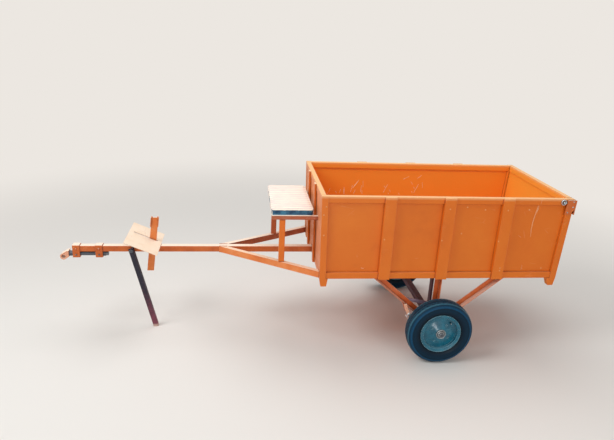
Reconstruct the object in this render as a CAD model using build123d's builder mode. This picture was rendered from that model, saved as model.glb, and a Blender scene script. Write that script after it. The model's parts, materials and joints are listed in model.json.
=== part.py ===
from build123d import *
from math import atan2, cos, degrees, radians, sin, tan
import os

os.makedirs("parts", exist_ok=True)

# Trailer for a walk-behind tractor, in millimetres. +X points forwards to the hitch, +Y to the left
# and +Z up. The origin is on the ground, below the middle of the trailer.

# Load box. "back" is a distance behind the foot of the front wall, "up" one above the box's underside.
box_length = 1500
box_width = 840
box_height = 520
box_clearance = 518
front_flare = 12
rear_flare = 22
rail_height = 40
rail_depth = 30
tube_wall = 3
tube_corner = 4
sheet = 3
panel_recess = 15
floor_sheet = 4
post_width = 68
post_spacing = 358
post_proud = 14
post_sheet = 3
corner_post_width = 38
corner_proud = 3
foot_drop = 48
foot_width_front = 50
foot_width_rear = 60
foot_toe_inset = 9
foot_toe_width = 34
front_rib_y = 150
front_rib_width = 40
front_rib_depth = 12
front_recess = 3

# Tailgate, between the rear posts
gate_gap = 5
gate_frame_depth = 22
gate_border = 36
gate_rib_width = 40
gate_rib_y = 135
hinge_radius = 8
hinge_pin_radius = 4
hinge_length = 60
hinge_y = 250
pin_clearance = 0.05

# Wheels and axle
tyre_radius = 206
tyre_width = 104
belly_low = 152
belly_high = 184
tread_half_width = 41
wheel_offset = 89
bead_radius = 110
bead_half_width = 27
flange_radius = 125
rim_half_width = 36.5
rim_sheet = 3
disc_sheet = 4
disc_offset = 26
disc_root_offset = 6
disc_cone_radius = 96
hub_radius = 30
hub_flange_radius = 72
hub_flange = 6
hub_inner = 46
hub_outer = 48
hub_chamfer = 4
spindle_radius = 12.5
end_play = 0.3
axle_size = 40
axle_nut_radius = 17
axle_nut_height = 12
spindle_nose = 6

# Brakes, inside the wheels
drum_radius = 88
drum_wall = 6
drum_depth = 34
drum_gap = 6
backplate_radius = 92
backplate = 4
backplate_inset = 8
strap_width = 50
strap_sheet = 6
strap_head_run = 218
strap_foot_run = 72
strap_bow = 21

# Struts that carry the axle
angle_leg = 35
angle_wall = 4
strut_inset = 40
strut_spread = 387
hanger_inset = 110
hanger_width = 40
hanger_thickness = 12
tie_height = 22
tie_sheet = 5
tie_head_back = 565
tie_head_up = -150
tie_fall = 42

# Drawbar and A-frame
drawbar_size = 40
drawbar_wall = 4
drawbar_reach = 1527
drawbar_up = 8
brace_width = 30
brace_height = 40
brace_corner_inset = 17
brace_reach = 610

# Hitch
collar_length = 43
collar_pitch = 140
collar_wall = 5
collar_drop = 21
shaft_radius = 14
shaft_up = -10
neck_radius = 17
neck_length = 26
head_length = 30
head_width = 46
head_height = 46
eye_radius = 21
eye_bore_radius = 13
eye_drop = 14
eye_ahead = 32
shaft_nut_radius = 17
shaft_nut_length = 18
shaft_tail = 14

# Parking stand
stand_leg_size = 30
stand_pivot_reach = 1160
stand_pivot_up = 28
stand_foot_reach = 1028
stand_gap = 5.5
stand_bolt_radius = 6
stand_head_radius = 11
stand_head_height = 7

# Footplate and brake lever
plate_width = 364
plate_length = 215
plate_sheet = 4
plate_tilt = 23.1
plate_reach = 982
gusset_sheet = 6
gusset_y = 14
slot_width = 14
slot_start = 28
lever_thickness = 8
lever_width = 42
lever_gap = 8
lever_top = 225
lever_bottom = -146
lever_reach_top = 1016
lever_lean = 6.7
pad_width = 50
pad_height = 62
pad_lip = 12
lever_pin_radius = 8
lever_pin_head = 14

# Seat
seat_width = 536
seat_depth = 262
seat_gap = 27
seat_top = 386
cushion_thickness = 42
cushion_round = 12
seat_rail = 25
seat_rail_inset = 7
seat_rail_reach = 284
seat_leg_reach_left = 220
seat_leg_reach_right = 242
seat_leg_width = 36
seat_leg_depth = 25

# Tailgate latches
latch_sheet = 5
latch_height = 90
latch_length = 48
latch_toe = 17
latch_shoulder = 55
latch_top_drop = 4
catch_radius = 7
catch_height = 10
catch_reach = 18

# Places worked out from the sizes above
half_width = box_width / 2
axle_back = box_length / 2
axle_up = tyre_radius - box_clearance
wheel_y = half_width + wheel_offset
panel_y = half_width - panel_recess
inner_y = half_width - rail_depth
drawbar_top = drawbar_up + drawbar_size
nose_reach = drawbar_reach + neck_length + eye_ahead + eye_radius
strap_up = box_height - latch_top_drop
latch_back = box_length + rear_flare * strap_up / box_height + gate_gap + latch_sheet
front_x = (latch_back - nose_reach) / 2


def at(back, up):
    """The (X, Z) place of a point given behind the front wall's foot and above the box's underside."""
    return (front_x - back, box_clearance + up)


def front_lean(up):
    """How far behind its foot the front wall stands at a height."""
    return -front_flare * up / box_height


def rear_lean(up):
    """How far behind the foot of the front wall the box's rear edge is at a height."""
    return box_length + rear_flare * up / box_height


def side_slab(outline, y_low, y_high):
    """A solid whose (back, up) outline is drawn from the side and fills the trailer from y_low to y_high."""
    with BuildPart(mode=Mode.PRIVATE) as slab:
        with BuildSketch(Plane.XZ.offset(-y_high)):
            with BuildLine():
                Polyline(*[at(back, up) for back, up in outline], close=True)
            make_face()
        extrude(amount=y_high - y_low)
    return slab.part


def side_box(back_low, back_high, up_low, up_high, y_low, y_high):
    """A square-edged block from its limits."""
    corners = ((back_low, up_low), (back_high, up_low), (back_high, up_high), (back_low, up_high))
    return side_slab(corners, y_low, y_high)


def tube(backs, ups, ys, along, wall=tube_wall):
    """A tube with rounded corners and closed ends, from its limits back, up and across."""
    x, z = at(sum(backs) / 2, sum(ups) / 2)
    size = (backs[1] - backs[0], ys[1] - ys[0], ups[1] - ups[0])
    with BuildPart(mode=Mode.PRIVATE) as bar:
        with Locations((x, sum(ys) / 2, z)):
            Box(*size)
            fillet(bar.edges().filter_by(along), radius=tube_corner)
            Box(*[length - 2 * wall for length in size], mode=Mode.SUBTRACT)
    return bar.part


def side_limits(side, y_near, y_far):
    """The lower and upper Y of something between two distances from the middle, on one side."""
    return sorted((side * y_near, side * y_far))


def finish(part, name):
    """Label a node and write it."""
    part.label = name
    export_step(part, f"parts/{name}.step")


# Side rails: a tube along the foot of each side and one along its top
rails_low = rail_height
rails_high = box_height - rail_height
for side, name in ((1, "left"), (-1, "right")):
    across = side_limits(side, inner_y, half_width)
    with BuildPart() as side_rails:
        add(tube((0, box_length), (0, rail_height), across, Axis.X))
        add(tube((-front_flare, box_length + rear_flare), (rails_high, box_height), across, Axis.X))
    finish(side_rails.part, f"side_rails_{name}")

# Side posts: channels over both rails, and the corner posts that run down into feet
for side, name in ((1, "left"), (-1, "right")):
    with BuildPart() as side_posts:
        for step in (-1, 0, 1):
            low = axle_back + step * post_spacing - post_width / 2
            high = low + post_width
            for edge in (low, high - post_sheet):
                flange = side_limits(side, panel_y, half_width)
                add(side_box(edge, edge + post_sheet, rails_low, rails_high, *flange))
            add(side_box(low, high, 0, box_height, *side_limits(side, half_width, half_width + post_proud)))
            hollow = side_limits(side, half_width, half_width + post_proud - post_sheet)
            add(
                side_box(low + post_sheet, high - post_sheet, post_sheet, box_height - post_sheet, *hollow),
                mode=Mode.SUBTRACT,
            )
        web = side_limits(side, half_width, half_width + corner_proud)
        corner = side_limits(side, inner_y, half_width + corner_proud)
        for lean, direction, foot_width in ((front_lean, 1, foot_width_front), (rear_lean, -1, foot_width_rear)):
            inside = direction * corner_post_width
            for low, high, limits in ((0, box_height, web), (rails_low, rails_high, corner)):
                outline = ((lean(low), low), (lean(low) + inside, low), (lean(high) + inside, high), (lean(high), high))
                add(side_slab(outline, *limits))
            toe = lean(0) + direction * foot_toe_inset
            foot = (
                (lean(0), 0),
                (lean(0) + direction * foot_width, 0),
                (toe + direction * foot_toe_width, -foot_drop),
                (toe, -foot_drop),
            )
            add(side_slab(foot, *corner))
    finish(side_posts.part, f"side_posts_{name}")

# Side panels: one sheet behind the posts, from rail to rail and from corner post to corner post
for side, name in ((1, "left"), (-1, "right")):
    outline = (
        (front_lean(rails_low) + corner_post_width, rails_low),
        (rear_lean(rails_low) - corner_post_width, rails_low),
        (rear_lean(rails_high) - corner_post_width, rails_high),
        (front_lean(rails_high) + corner_post_width, rails_high),
    )
    with BuildPart() as side_panel:
        add(side_slab(outline, *side_limits(side, panel_y - sheet, panel_y)))
    finish(side_panel.part, f"side_panel_{name}")


def front_slab(low, high, depth_low, depth_high, y_low, y_high):
    """A piece of the front wall, between two depths behind its leaning outer face."""
    outline = (
        (front_lean(low) + depth_low, low),
        (front_lean(low) + depth_high, low),
        (front_lean(high) + depth_high, high),
        (front_lean(high) + depth_low, high),
    )
    return side_slab(outline, y_low, y_high)


# Front wall: top rail, the sheet between the rails, and two channels that run over both rails
with BuildPart() as front_frame:
    wall_backs = (-front_flare, rail_depth - front_flare)
    add(tube(wall_backs, (rails_high, box_height), (-inner_y, inner_y), Axis.Y))
finish(front_frame.part, "front_frame")

with BuildPart() as front_panel:
    add(front_slab(rails_low, rails_high, front_recess, front_recess + sheet, -inner_y, inner_y))
finish(front_panel.part, "front_panel")

with BuildPart() as front_ribs:
    for side in (1, -1):
        low, high = side * front_rib_y - front_rib_width / 2, side * front_rib_y + front_rib_width / 2
        add(front_slab(0, box_height, -front_rib_depth, 0, low, high))
        hollow = (post_sheet - front_rib_depth, 0, low + post_sheet, high - post_sheet)
        add(front_slab(post_sheet, box_height - post_sheet, *hollow), mode=Mode.SUBTRACT)
    # the top rail stands upright where the channels lean
    add(side_box(-front_flare, 0, rails_high, box_height, -half_width, half_width), mode=Mode.SUBTRACT)
finish(front_ribs.part, "front_ribs")

# Floor frame: front rail, rear sill and three cross members between the side rails
with BuildPart() as floor_frame:
    add(tube((0, rail_depth), (0, rail_height), (-inner_y, inner_y), Axis.Y))
    add(tube((box_length - rail_depth, box_length), (0, rail_height), (-inner_y, inner_y), Axis.Y))
    for step in (-1, 0, 1):
        middle = axle_back + step * post_spacing
        limits = (middle - rail_depth / 2, middle + rail_depth / 2)
        add(tube(limits, (0, rail_height - floor_sheet), (-inner_y, inner_y), Axis.Y))
finish(floor_frame.part, "floor_frame")

with BuildPart() as floor_panel:
    limits = (rail_depth, box_length - rail_depth)
    add(side_box(*limits, rail_height - floor_sheet, rail_height, -inner_y, inner_y))
finish(floor_panel.part, "floor_panel")

# Tailgate: a frame with two ribs outside, a deeper top rail, and the sheet on the frame's inner face
gate_y = inner_y - gate_gap
gate_low = rail_height + gate_gap
gate_high = box_height


def gate_slab(low, high, depth_low, depth_high, y_low, y_high):
    """A piece of the tailgate, between two depths ahead of its leaning outer face."""
    outline = (
        (rear_lean(low) - depth_low, low),
        (rear_lean(low) - depth_high, low),
        (rear_lean(high) - depth_high, high),
        (rear_lean(high) - depth_low, high),
    )
    return side_slab(outline, y_low, y_high)


rib_low = gate_rib_y - gate_rib_width / 2
rib_high = gate_rib_y + gate_rib_width / 2
# columns: the limits of each window across the gate
gate_windows = ((-gate_y + gate_border, -rib_high), (-rib_low, rib_low), (rib_high, gate_y - gate_border))
window_low = gate_low + gate_border
window_high = gate_high - rail_height

with BuildPart() as tailgate_frame:
    add(gate_slab(gate_low, gate_high, 0, gate_frame_depth, -gate_y, gate_y))
    for y_low, y_high in gate_windows:
        add(gate_slab(window_low, window_high, 0, gate_frame_depth, y_low, y_high), mode=Mode.SUBTRACT)
    add(gate_slab(window_high, gate_high, 0, rail_depth, -gate_y, gate_y))
finish(tailgate_frame.part, "tailgate_frame")

with BuildPart() as tailgate_panel:
    add(gate_slab(gate_low, window_high, gate_frame_depth, gate_frame_depth + sheet, -gate_y, gate_y))
finish(tailgate_panel.part, "tailgate_panel")

# Tailgate hinges: each has two knuckles on the sill with the pin, and one on the gate between them
hinge_back = rear_lean(gate_low) + hinge_radius
hinge_up = rail_height + gate_gap / 2
hinge_x, hinge_z = at(hinge_back, hinge_up)
leaf = 4
knuckle = hinge_length / 3
knuckle_gap = 0.5


def knuckle_at(y_low, y_high, radius):
    """A knuckle or a pin of a hinge, round the tailgate's axis."""
    with BuildPart(mode=Mode.PRIVATE) as barrel:
        with BuildSketch(Plane.XZ.offset(-y_high)):
            with Locations((hinge_x, hinge_z)):
                Circle(radius)
        extrude(amount=y_high - y_low)
    return barrel.part


with BuildPart() as sill_hinges:
    for middle in (-hinge_y, hinge_y):
        add(knuckle_at(middle - hinge_length / 2, middle + hinge_length / 2, hinge_pin_radius))
        for low in (middle - hinge_length / 2, middle + knuckle / 2):
            add(knuckle_at(low, low + knuckle, hinge_radius))
            add(side_box(box_length, box_length + leaf, rail_height / 3, hinge_up, low, low + knuckle))
finish(sill_hinges.part, "sill_hinges")

with BuildPart() as gate_hinges:
    for middle in (-hinge_y, hinge_y):
        limits = (middle - knuckle / 2 + knuckle_gap, middle + knuckle / 2 - knuckle_gap)
        add(knuckle_at(*limits, hinge_radius))
        leaf_low = hinge_up + hinge_radius / 2
        leaf_high = gate_low + gate_border
        outline = (
            (rear_lean(leaf_low), leaf_low),
            (hinge_back, leaf_low),
            (rear_lean(leaf_high) + leaf, leaf_high),
            (rear_lean(leaf_high), leaf_high),
        )
        add(side_slab(outline, *limits))
        add(knuckle_at(*limits, hinge_pin_radius + pin_clearance), mode=Mode.SUBTRACT)
finish(gate_hinges.part, "gate_hinges")

# Tailgate latches: a strap from the back of the gate round each rear post, and the catch that it drops over
strap_y = half_width + corner_proud + gate_gap
with BuildPart() as gate_latches:
    for side in (1, -1):
        low, high = strap_up - latch_height, strap_up
        plate_front = -gate_gap
        back_leg = side_limits(side, gate_y - gate_border, strap_y + latch_sheet)
        side_leg = side_limits(side, strap_y, strap_y + latch_sheet)
        spacer = side_limits(side, gate_y - gate_border, gate_y)
        add(gate_slab(low, high, plate_front - latch_sheet, plate_front, *back_leg))
        add(gate_slab(low, high, plate_front, 0, *spacer))
        # columns: distance ahead of the gate's outer face, height
        corners = (
            (plate_front, high),
            (latch_length, high),
            (latch_length, low),
            (latch_toe, low),
            (plate_front, high - latch_shoulder),
        )
        add(side_slab([(rear_lean(up) - ahead, up) for ahead, up in corners], *side_leg))
finish(gate_latches.part, "gate_latches")

with BuildPart() as latch_catches:
    for side in (1, -1):
        x, z = at(rear_lean(strap_up) - latch_length - catch_reach, box_height - rail_height / 2)
        with BuildSketch(Plane.XZ.offset(-side * half_width)):
            with Locations((x, z)):
                Circle(catch_radius)
        extrude(amount=-side * (catch_height + corner_proud))
finish(latch_catches.part, "latch_catches")

# Axle beam and the spindles in its ends
axle_x, axle_z = at(axle_back, axle_up)
axle_inside = axle_size - 2 * drawbar_wall
shoulder = 4
beam_y = wheel_y - hub_inner - end_play - shoulder
with BuildPart() as axle_beam:
    with BuildSketch(Plane.XZ.offset(-beam_y)):
        with Locations((axle_x, axle_z)):
            RectangleRounded(axle_size, axle_size, tube_corner)
            Rectangle(axle_inside, axle_inside, mode=Mode.SUBTRACT)
    extrude(amount=2 * beam_y)
finish(axle_beam.part, "axle_beam")

for side, name in ((1, "left"), (-1, "right")):
    with BuildPart() as spindle:
        nut_face = wheel_y + hub_outer + end_play
        nut_end = nut_face + axle_nut_height
        # columns: radius, nearer end and farther end from the middle of the trailer, sides of a polygon or 0
        lengths = (
            (spindle_radius, beam_y - axle_size, nut_end + spindle_nose, 0),
            (spindle_radius + shoulder, beam_y, beam_y + shoulder, 0),
            (axle_nut_radius, nut_face, nut_end, 6),
        )
        for radius, near, far, sides in lengths:
            low, high = side_limits(side, near, far)
            with BuildSketch(Plane.XZ.offset(-high)):
                with Locations((axle_x, axle_z)):
                    if sides:
                        RegularPolygon(radius, sides)
                    else:
                        Circle(radius)
            extrude(amount=high - low)
        low, high = side_limits(side, beam_y - axle_size, beam_y)
        with BuildSketch(Plane.XZ.offset(-high)):
            with Locations((axle_x, axle_z)):
                Rectangle(axle_inside, axle_inside)
        extrude(amount=high - low)
    finish(spindle.part, f"spindle_{name}")


# Wheels
def wheel_plane(side):
    """The plane of a wheel's half section: x outwards from the tyre's middle, y away from the axle."""
    return Plane(origin=(axle_x, side * wheel_y, axle_z), x_dir=(0, side, 0), z_dir=(side, 0, 0))


wheel_axis = Axis((axle_x, 0, axle_z), (0, 1, 0))
seat_clearance = 0.3
bead = bead_radius + seat_clearance

for side, name in ((1, "left"), (-1, "right")):
    # Tyre: a closed ring with flat sides at the belly and a flat tread
    with BuildPart() as tyre:
        with BuildSketch(wheel_plane(side)):
            with BuildLine():
                Polyline(
                    (-bead_half_width, bead),
                    (-tyre_width / 2, belly_low),
                    (-tyre_width / 2, belly_high),
                    (-tread_half_width, tyre_radius),
                    (tread_half_width, tyre_radius),
                    (tyre_width / 2, belly_high),
                    (tyre_width / 2, belly_low),
                    (bead_half_width, bead),
                    close=True,
                )
            make_face()
        revolve(axis=wheel_axis)
    finish(tyre.part, f"tyre_{name}")

    # Rim: a barrel with two flanges, and the coned disc that bolts to the hub
    barrel_inner = bead_radius - rim_sheet
    with BuildPart() as rim:
        with BuildSketch(wheel_plane(side)):
            with BuildLine():
                Polyline(
                    (-rim_half_width - rim_sheet, flange_radius),
                    (-rim_half_width, flange_radius),
                    (-rim_half_width, bead_radius),
                    (rim_half_width, bead_radius),
                    (rim_half_width, flange_radius),
                    (rim_half_width + rim_sheet, flange_radius),
                    (rim_half_width + rim_sheet, barrel_inner),
                    (-rim_half_width - rim_sheet, barrel_inner),
                    close=True,
                )
            make_face()
            with BuildLine():
                Polyline(
                    (disc_root_offset, bead_radius - rim_sheet / 2),
                    (disc_root_offset, disc_cone_radius),
                    (disc_offset, hub_flange_radius),
                    (disc_offset, hub_radius + 1),
                    (disc_offset + disc_sheet, hub_radius + 1),
                    (disc_offset + disc_sheet, hub_flange_radius + 1),
                    (disc_root_offset + disc_sheet, disc_cone_radius + 2),
                    (disc_root_offset + disc_sheet, bead_radius - rim_sheet / 2),
                    close=True,
                )
            make_face()
        revolve(axis=wheel_axis)
    finish(rim.part, f"rim_{name}")

    # Hub: turned on the spindle, with a flange behind the disc and the brake drum at its inner end
    with BuildPart() as hub:
        with BuildSketch(wheel_plane(side)):
            with BuildLine():
                bore = spindle_radius + pin_clearance
                drum_edge = beam_y - backplate_inset + drum_gap - wheel_y
                Polyline(
                    (-hub_inner, bore),
                    (hub_outer, bore),
                    (hub_outer, hub_radius - hub_chamfer),
                    (hub_outer - hub_chamfer, hub_radius),
                    (disc_offset, hub_radius),
                    (disc_offset, hub_flange_radius),
                    (disc_offset - hub_flange, hub_flange_radius),
                    (disc_offset - hub_flange, hub_radius),
                    (drum_edge + drum_depth, hub_radius),
                    (drum_edge + drum_depth, drum_radius),
                    (drum_edge, drum_radius),
                    (drum_edge, drum_radius - drum_wall),
                    (drum_edge + drum_depth - drum_wall, drum_radius - drum_wall),
                    (drum_edge + drum_depth - drum_wall, hub_radius),
                    (-hub_inner, hub_radius),
                    close=True,
                )
            make_face()
        revolve(axis=wheel_axis)
    finish(hub.part, f"hub_{name}")

# Struts: two sloping angles and an upright angle carry each end of the axle
strut_y = half_width - strut_inset
beam_half = axle_size / 2
strut_run = strut_spread - beam_half
strut_slope = atan2(-axle_up, strut_run)
half_leg = angle_leg / 2 / cos(strut_slope)


def strut_outline(direction, low, high):
    """A band along a strut's slope, between two heights above its lower edge, cut at the rail and beam."""
    points = []
    for offset in (low, high):
        shift = offset / cos(strut_slope) - half_leg
        # columns: distance from the axle at the foot and at the rail
        foot_up = axle_up + shift
        head_run = beam_half - axle_up / tan(strut_slope) - shift / tan(strut_slope)
        points.append(((beam_half, foot_up), (head_run, 0)))
    (foot_a, head_a), (foot_b, head_b) = points
    return [(axle_back + direction * run, up) for run, up in (foot_a, head_a, head_b, foot_b)]


for direction, end in ((-1, "front"), (1, "rear")):
    for side, name in ((1, "left"), (-1, "right")):
        with BuildPart() as strut:
            add(side_slab(strut_outline(direction, 0, angle_leg), *side_limits(side, strut_y, strut_y + angle_wall)))
            add(side_slab(strut_outline(direction, 0, angle_wall), *side_limits(side, strut_y, strut_y + angle_leg)))
        finish(strut.part, f"strut_{end}_{name}")

for side, name in ((1, "left"), (-1, "right")):
    low, high = axle_back - angle_leg / 2, axle_back + angle_leg / 2
    foot = axle_up + beam_half
    with BuildPart() as strut_post:
        add(side_box(low, high, foot, 0, *side_limits(side, strut_y, strut_y + angle_wall)))
        add(side_box(high - angle_wall, high, foot, 0, *side_limits(side, strut_y, strut_y + angle_leg)))
    finish(strut_post.part, f"strut_post_{name}")

    # Tie: a flat bar inside the front strut and the upright
    with BuildPart() as strut_tie:
        tie_foot_up = tie_head_up - tie_fall
        outline = (
            (tie_head_back, tie_head_up),
            (high, tie_foot_up),
            (high, tie_foot_up - tie_height),
            (tie_head_back, tie_head_up - tie_height),
        )
        add(side_slab(outline, *side_limits(side, strut_y - tie_sheet, strut_y)))
    finish(strut_tie.part, f"strut_tie_{name}")

    hanger_y = half_width - hanger_inset
    with BuildPart() as axle_hanger:
        limits = (axle_back - hanger_thickness / 2, axle_back + hanger_thickness / 2)
        add(side_box(*limits, foot, 0, *side_limits(side, hanger_y - hanger_width, hanger_y)))
    finish(axle_hanger.part, f"axle_hanger_{name}")

# Brake plates: a disc round each end of the axle, and the bowed strap that anchors it under the front strut
for side, name in ((1, "left"), (-1, "right")):
    with BuildPart() as brake_plate:
        plate_y = beam_y - backplate_inset
        low, high = side_limits(side, plate_y - backplate, plate_y)
        with BuildSketch(Plane.XZ.offset(-high)):
            with Locations((axle_x, axle_z)):
                Circle(backplate_radius)
                RectangleRounded(axle_size, axle_size, tube_corner, mode=Mode.SUBTRACT)
        extrude(amount=high - low)
        low, high = side_limits(side, plate_y - strap_width, plate_y - backplate)
        strut_low = axle_up - half_leg + (strap_head_run - beam_half) * tan(strut_slope)
        head = Vector(*at(axle_back - strap_head_run, strut_low + angle_wall))
        foot = Vector(axle_x + strap_foot_run, axle_z)
        with BuildSketch(Plane.XZ.offset(-high)):
            with BuildLine():
                ThreePointArc(head, (head + foot) / 2 + Vector(strap_bow, -strap_bow), foot)
                offset(amount=strap_sheet, side=Side.RIGHT)
            make_face()
        extrude(amount=high - low)
        add(side_slab(strut_outline(-1, 0, angle_leg), low, high), mode=Mode.SUBTRACT)
    finish(brake_plate.part, f"brake_plate_{name}")

# Drawbar: a square tube from the front wall to the hitch
half_bar = drawbar_size / 2
drawbar_middle = drawbar_up + half_bar
bar_x, bar_z = at(0, drawbar_middle)
with BuildPart() as drawbar:
    add(tube((-drawbar_reach, 0), (drawbar_up, drawbar_top), (-half_bar, half_bar), Axis.X, drawbar_wall))
finish(drawbar.part, "drawbar")

# A-frame braces: from the box's front corners to the drawbar's sides, rising until the tops are level
brace_corner_y = half_width - brace_corner_inset
brace_angle = atan2(brace_corner_y - half_bar, brace_reach)
brace_across = brace_width / cos(brace_angle)


def brace_bar(side, outer, inner, inset):
    """A bar between two places on the front wall and the drawbar's side, drawn in at its top and foot."""
    with BuildPart(mode=Mode.PRIVATE) as bar:
        with BuildSketch(Plane.XY.offset(box_clearance)):
            with BuildLine():
                Polyline(
                    (front_x, side * outer),
                    (front_x + (outer - half_bar) / tan(brace_angle), side * half_bar),
                    (front_x + (inner - half_bar) / tan(brace_angle), side * half_bar),
                    (front_x, side * inner),
                    close=True,
                )
            make_face()
        extrude(amount=drawbar_top)
        outline = (
            (0, inset),
            (-brace_reach, drawbar_up + inset),
            (-brace_reach, drawbar_top - inset),
            (0, brace_height - inset),
        )
        add(side_slab(outline, -half_width, half_width), mode=Mode.INTERSECT)
    return bar.part


for side, name in ((1, "left"), (-1, "right")):
    with BuildPart() as brace:
        brace_inner_y = brace_corner_y - brace_across
        wall_across = tube_wall / cos(brace_angle)
        add(brace_bar(side, brace_corner_y, brace_inner_y, 0))
        add(brace_bar(side, brace_corner_y - wall_across, brace_inner_y + wall_across, tube_wall), mode=Mode.SUBTRACT)
    finish(brace.part, f"a_frame_{name}")

# Hitch collars: two straps round the drawbar that carry the swivel shaft below it
collar_backs = (-drawbar_reach, -drawbar_reach + collar_pitch)
shaft_z = box_clearance + shaft_up
collar_bottom = shaft_up - collar_drop
with BuildPart() as hitch_collars:
    for back in collar_backs:
        x, top = at(back, drawbar_top + collar_wall)
        collar_height = drawbar_top + collar_wall - collar_bottom
        with BuildSketch(Plane.YZ.offset(x)):
            with Locations((0, top - collar_height / 2)):
                RectangleRounded(drawbar_size + 2 * collar_wall, collar_height, collar_wall)
            with Locations((0, bar_z)):
                RectangleRounded(drawbar_size, drawbar_size, tube_corner, mode=Mode.SUBTRACT)
            with Locations((0, shaft_z)):
                Circle(shaft_radius + pin_clearance, mode=Mode.SUBTRACT)
        extrude(amount=-collar_length)
finish(hitch_collars.part, "hitch_collars")

# Swivel shaft: turns in the collars, with a neck in front and a nut behind
nose_x = front_x + drawbar_reach
tail_x = nose_x - collar_pitch - collar_length
with BuildPart() as swivel_shaft:
    # columns: radius, nearer end, farther end along X, sides of a polygon or 0
    lengths = (
        (shaft_radius, tail_x - shaft_nut_length - shaft_tail, nose_x + neck_length, 0),
        (neck_radius, nose_x + end_play, nose_x + neck_length, 0),
        (shaft_nut_radius, tail_x - end_play - shaft_nut_length, tail_x - end_play, 6),
    )
    for radius, low, high, sides in lengths:
        with BuildSketch(Plane.YZ.offset(low)):
            with Locations((0, shaft_z)):
                if sides:
                    RegularPolygon(radius, sides)
                else:
                    Circle(radius)
        extrude(amount=high - low)
finish(swivel_shaft.part, "swivel_shaft")

# Hitch head: a wedge that drops from the neck to the eye for the hitch pin
head_x = nose_x + neck_length
eye_x = head_x + eye_ahead
eye_z = shaft_z - eye_drop
with BuildPart() as hitch_head:
    with BuildSketch(Plane.XZ.offset(-head_width / 2)):
        with BuildLine():
            Polyline(
                (head_x, shaft_z - neck_radius),
                (head_x, shaft_z + head_height / 2),
                (head_x + head_length / 3, shaft_z + head_height / 2),
                (eye_x + eye_radius * cos(radians(45)), eye_z + eye_radius * sin(radians(45))),
                (eye_x, eye_z - eye_radius),
                close=True,
            )
        make_face()
        with Locations((eye_x, eye_z)):
            Circle(eye_radius)
            Circle(eye_bore_radius, mode=Mode.SUBTRACT)
    extrude(amount=head_width)
finish(hitch_head.part, "hitch_head")

# Parking stand: an angle-iron leg that folds back beside the drawbar, and its pivot bolt
pivot_x, pivot_z = at(-stand_pivot_reach, stand_pivot_up)
foot_x = front_x + stand_foot_reach
stand_tilt = degrees(atan2(pivot_x - foot_x, pivot_z))
stand_length = pivot_z / cos(radians(stand_tilt))
stand_inner = half_bar + stand_gap
stand_outer = stand_inner + stand_leg_size
leg_plane = Plane(
    origin=(pivot_x, 0, pivot_z),
    x_dir=(cos(radians(stand_tilt)), 0, -sin(radians(stand_tilt))),
    z_dir=(-sin(radians(stand_tilt)), 0, -cos(radians(stand_tilt))),
)
with BuildPart() as stand_leg:
    with BuildSketch(leg_plane.offset(-stand_leg_size / 2)):
        # local x is towards the hitch, local y towards the right side of the trailer
        with Locations((0, -stand_outer + angle_wall / 2)):
            Rectangle(stand_leg_size, angle_wall)
        with Locations((-stand_leg_size / 2 + angle_wall / 2, -(stand_inner + stand_outer) / 2)):
            Rectangle(angle_wall, stand_leg_size)
    extrude(amount=stand_length + 2 * stand_leg_size)
    with BuildSketch(Plane.XY):
        with Locations((foot_x, 0)):
            Rectangle(8 * stand_leg_size, 8 * stand_leg_size)
    extrude(amount=-4 * stand_leg_size, mode=Mode.SUBTRACT)
    with BuildSketch(Plane.XZ.offset(-stand_outer - stand_leg_size)):
        with Locations((pivot_x, pivot_z)):
            Circle(stand_bolt_radius + pin_clearance)
    extrude(amount=2 * stand_leg_size, mode=Mode.SUBTRACT)
finish(stand_leg.part, "stand_leg")

with BuildPart() as stand_bolt:
    # columns: radius, nearer end, farther end from the middle
    lengths = (
        (stand_bolt_radius, half_bar, stand_outer + end_play + stand_head_height),
        (stand_head_radius, half_bar, stand_outer - angle_wall - end_play),
        (stand_head_radius, stand_outer + end_play, stand_outer + end_play + stand_head_height),
    )
    for radius, low, high in lengths:
        with BuildSketch(Plane.XZ.offset(-high)):
            with Locations((pivot_x, pivot_z)):
                Circle(radius)
        extrude(amount=high - low)
finish(stand_bolt.part, "stand_bolt")

# Footplate: a tilted sheet whose rear edge lies on the drawbar, with a slot for the lever
plate_rise = radians(plate_tilt)
rear_edge_x, rear_edge_z = at(-plate_reach, drawbar_top)
plate_plane = Plane(
    origin=(rear_edge_x, 0, rear_edge_z),
    x_dir=(cos(plate_rise), 0, sin(plate_rise)),
    z_dir=(-sin(plate_rise), 0, cos(plate_rise)),
)
lever_y = -half_bar - lever_gap - lever_thickness / 2
with BuildPart() as footplate:
    with BuildSketch(plate_plane):
        with Locations((plate_length / 2, 0)):
            Rectangle(plate_length, plate_width)
        slot_length = plate_length - 2 * slot_start
        with Locations((plate_length / 2, lever_y)):
            Rectangle(slot_length, slot_width, mode=Mode.SUBTRACT)
    extrude(amount=plate_sheet)
finish(footplate.part, "footplate")

with BuildPart() as footplate_gussets:
    for middle in (-gusset_y, gusset_y):
        run = plate_length * cos(plate_rise) - 2 * gusset_sheet
        outline = (
            (-plate_reach - run / 3, drawbar_top),
            (-plate_reach - run, drawbar_top),
            (-plate_reach - run, drawbar_top + run * tan(plate_rise)),
            (-plate_reach - run / 3, drawbar_top + run / 3 * tan(plate_rise)),
        )
        add(side_slab(outline, middle - gusset_sheet / 2, middle + gusset_sheet / 2))
finish(footplate_gussets.part, "footplate_gussets")

# Brake lever: a flat bar through the slot, with a lipped foot pad on top and a pin in the drawbar's side
lever_tilt = radians(lever_lean)


def lever_place(up, across):
    """A point of the lever, by its height and its distance ahead of the lever's middle line."""
    reach = lever_reach_top + (lever_top - up) * tan(lever_tilt) + across / cos(lever_tilt)
    return (-reach, up)


def lever_slab(low, high, width, y_low, y_high):
    """A stretch of the lever."""
    half = width / 2
    outline = (lever_place(low, half), lever_place(low, -half), lever_place(high, -half), lever_place(high, half))
    return side_slab(outline, y_low, y_high)


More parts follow.
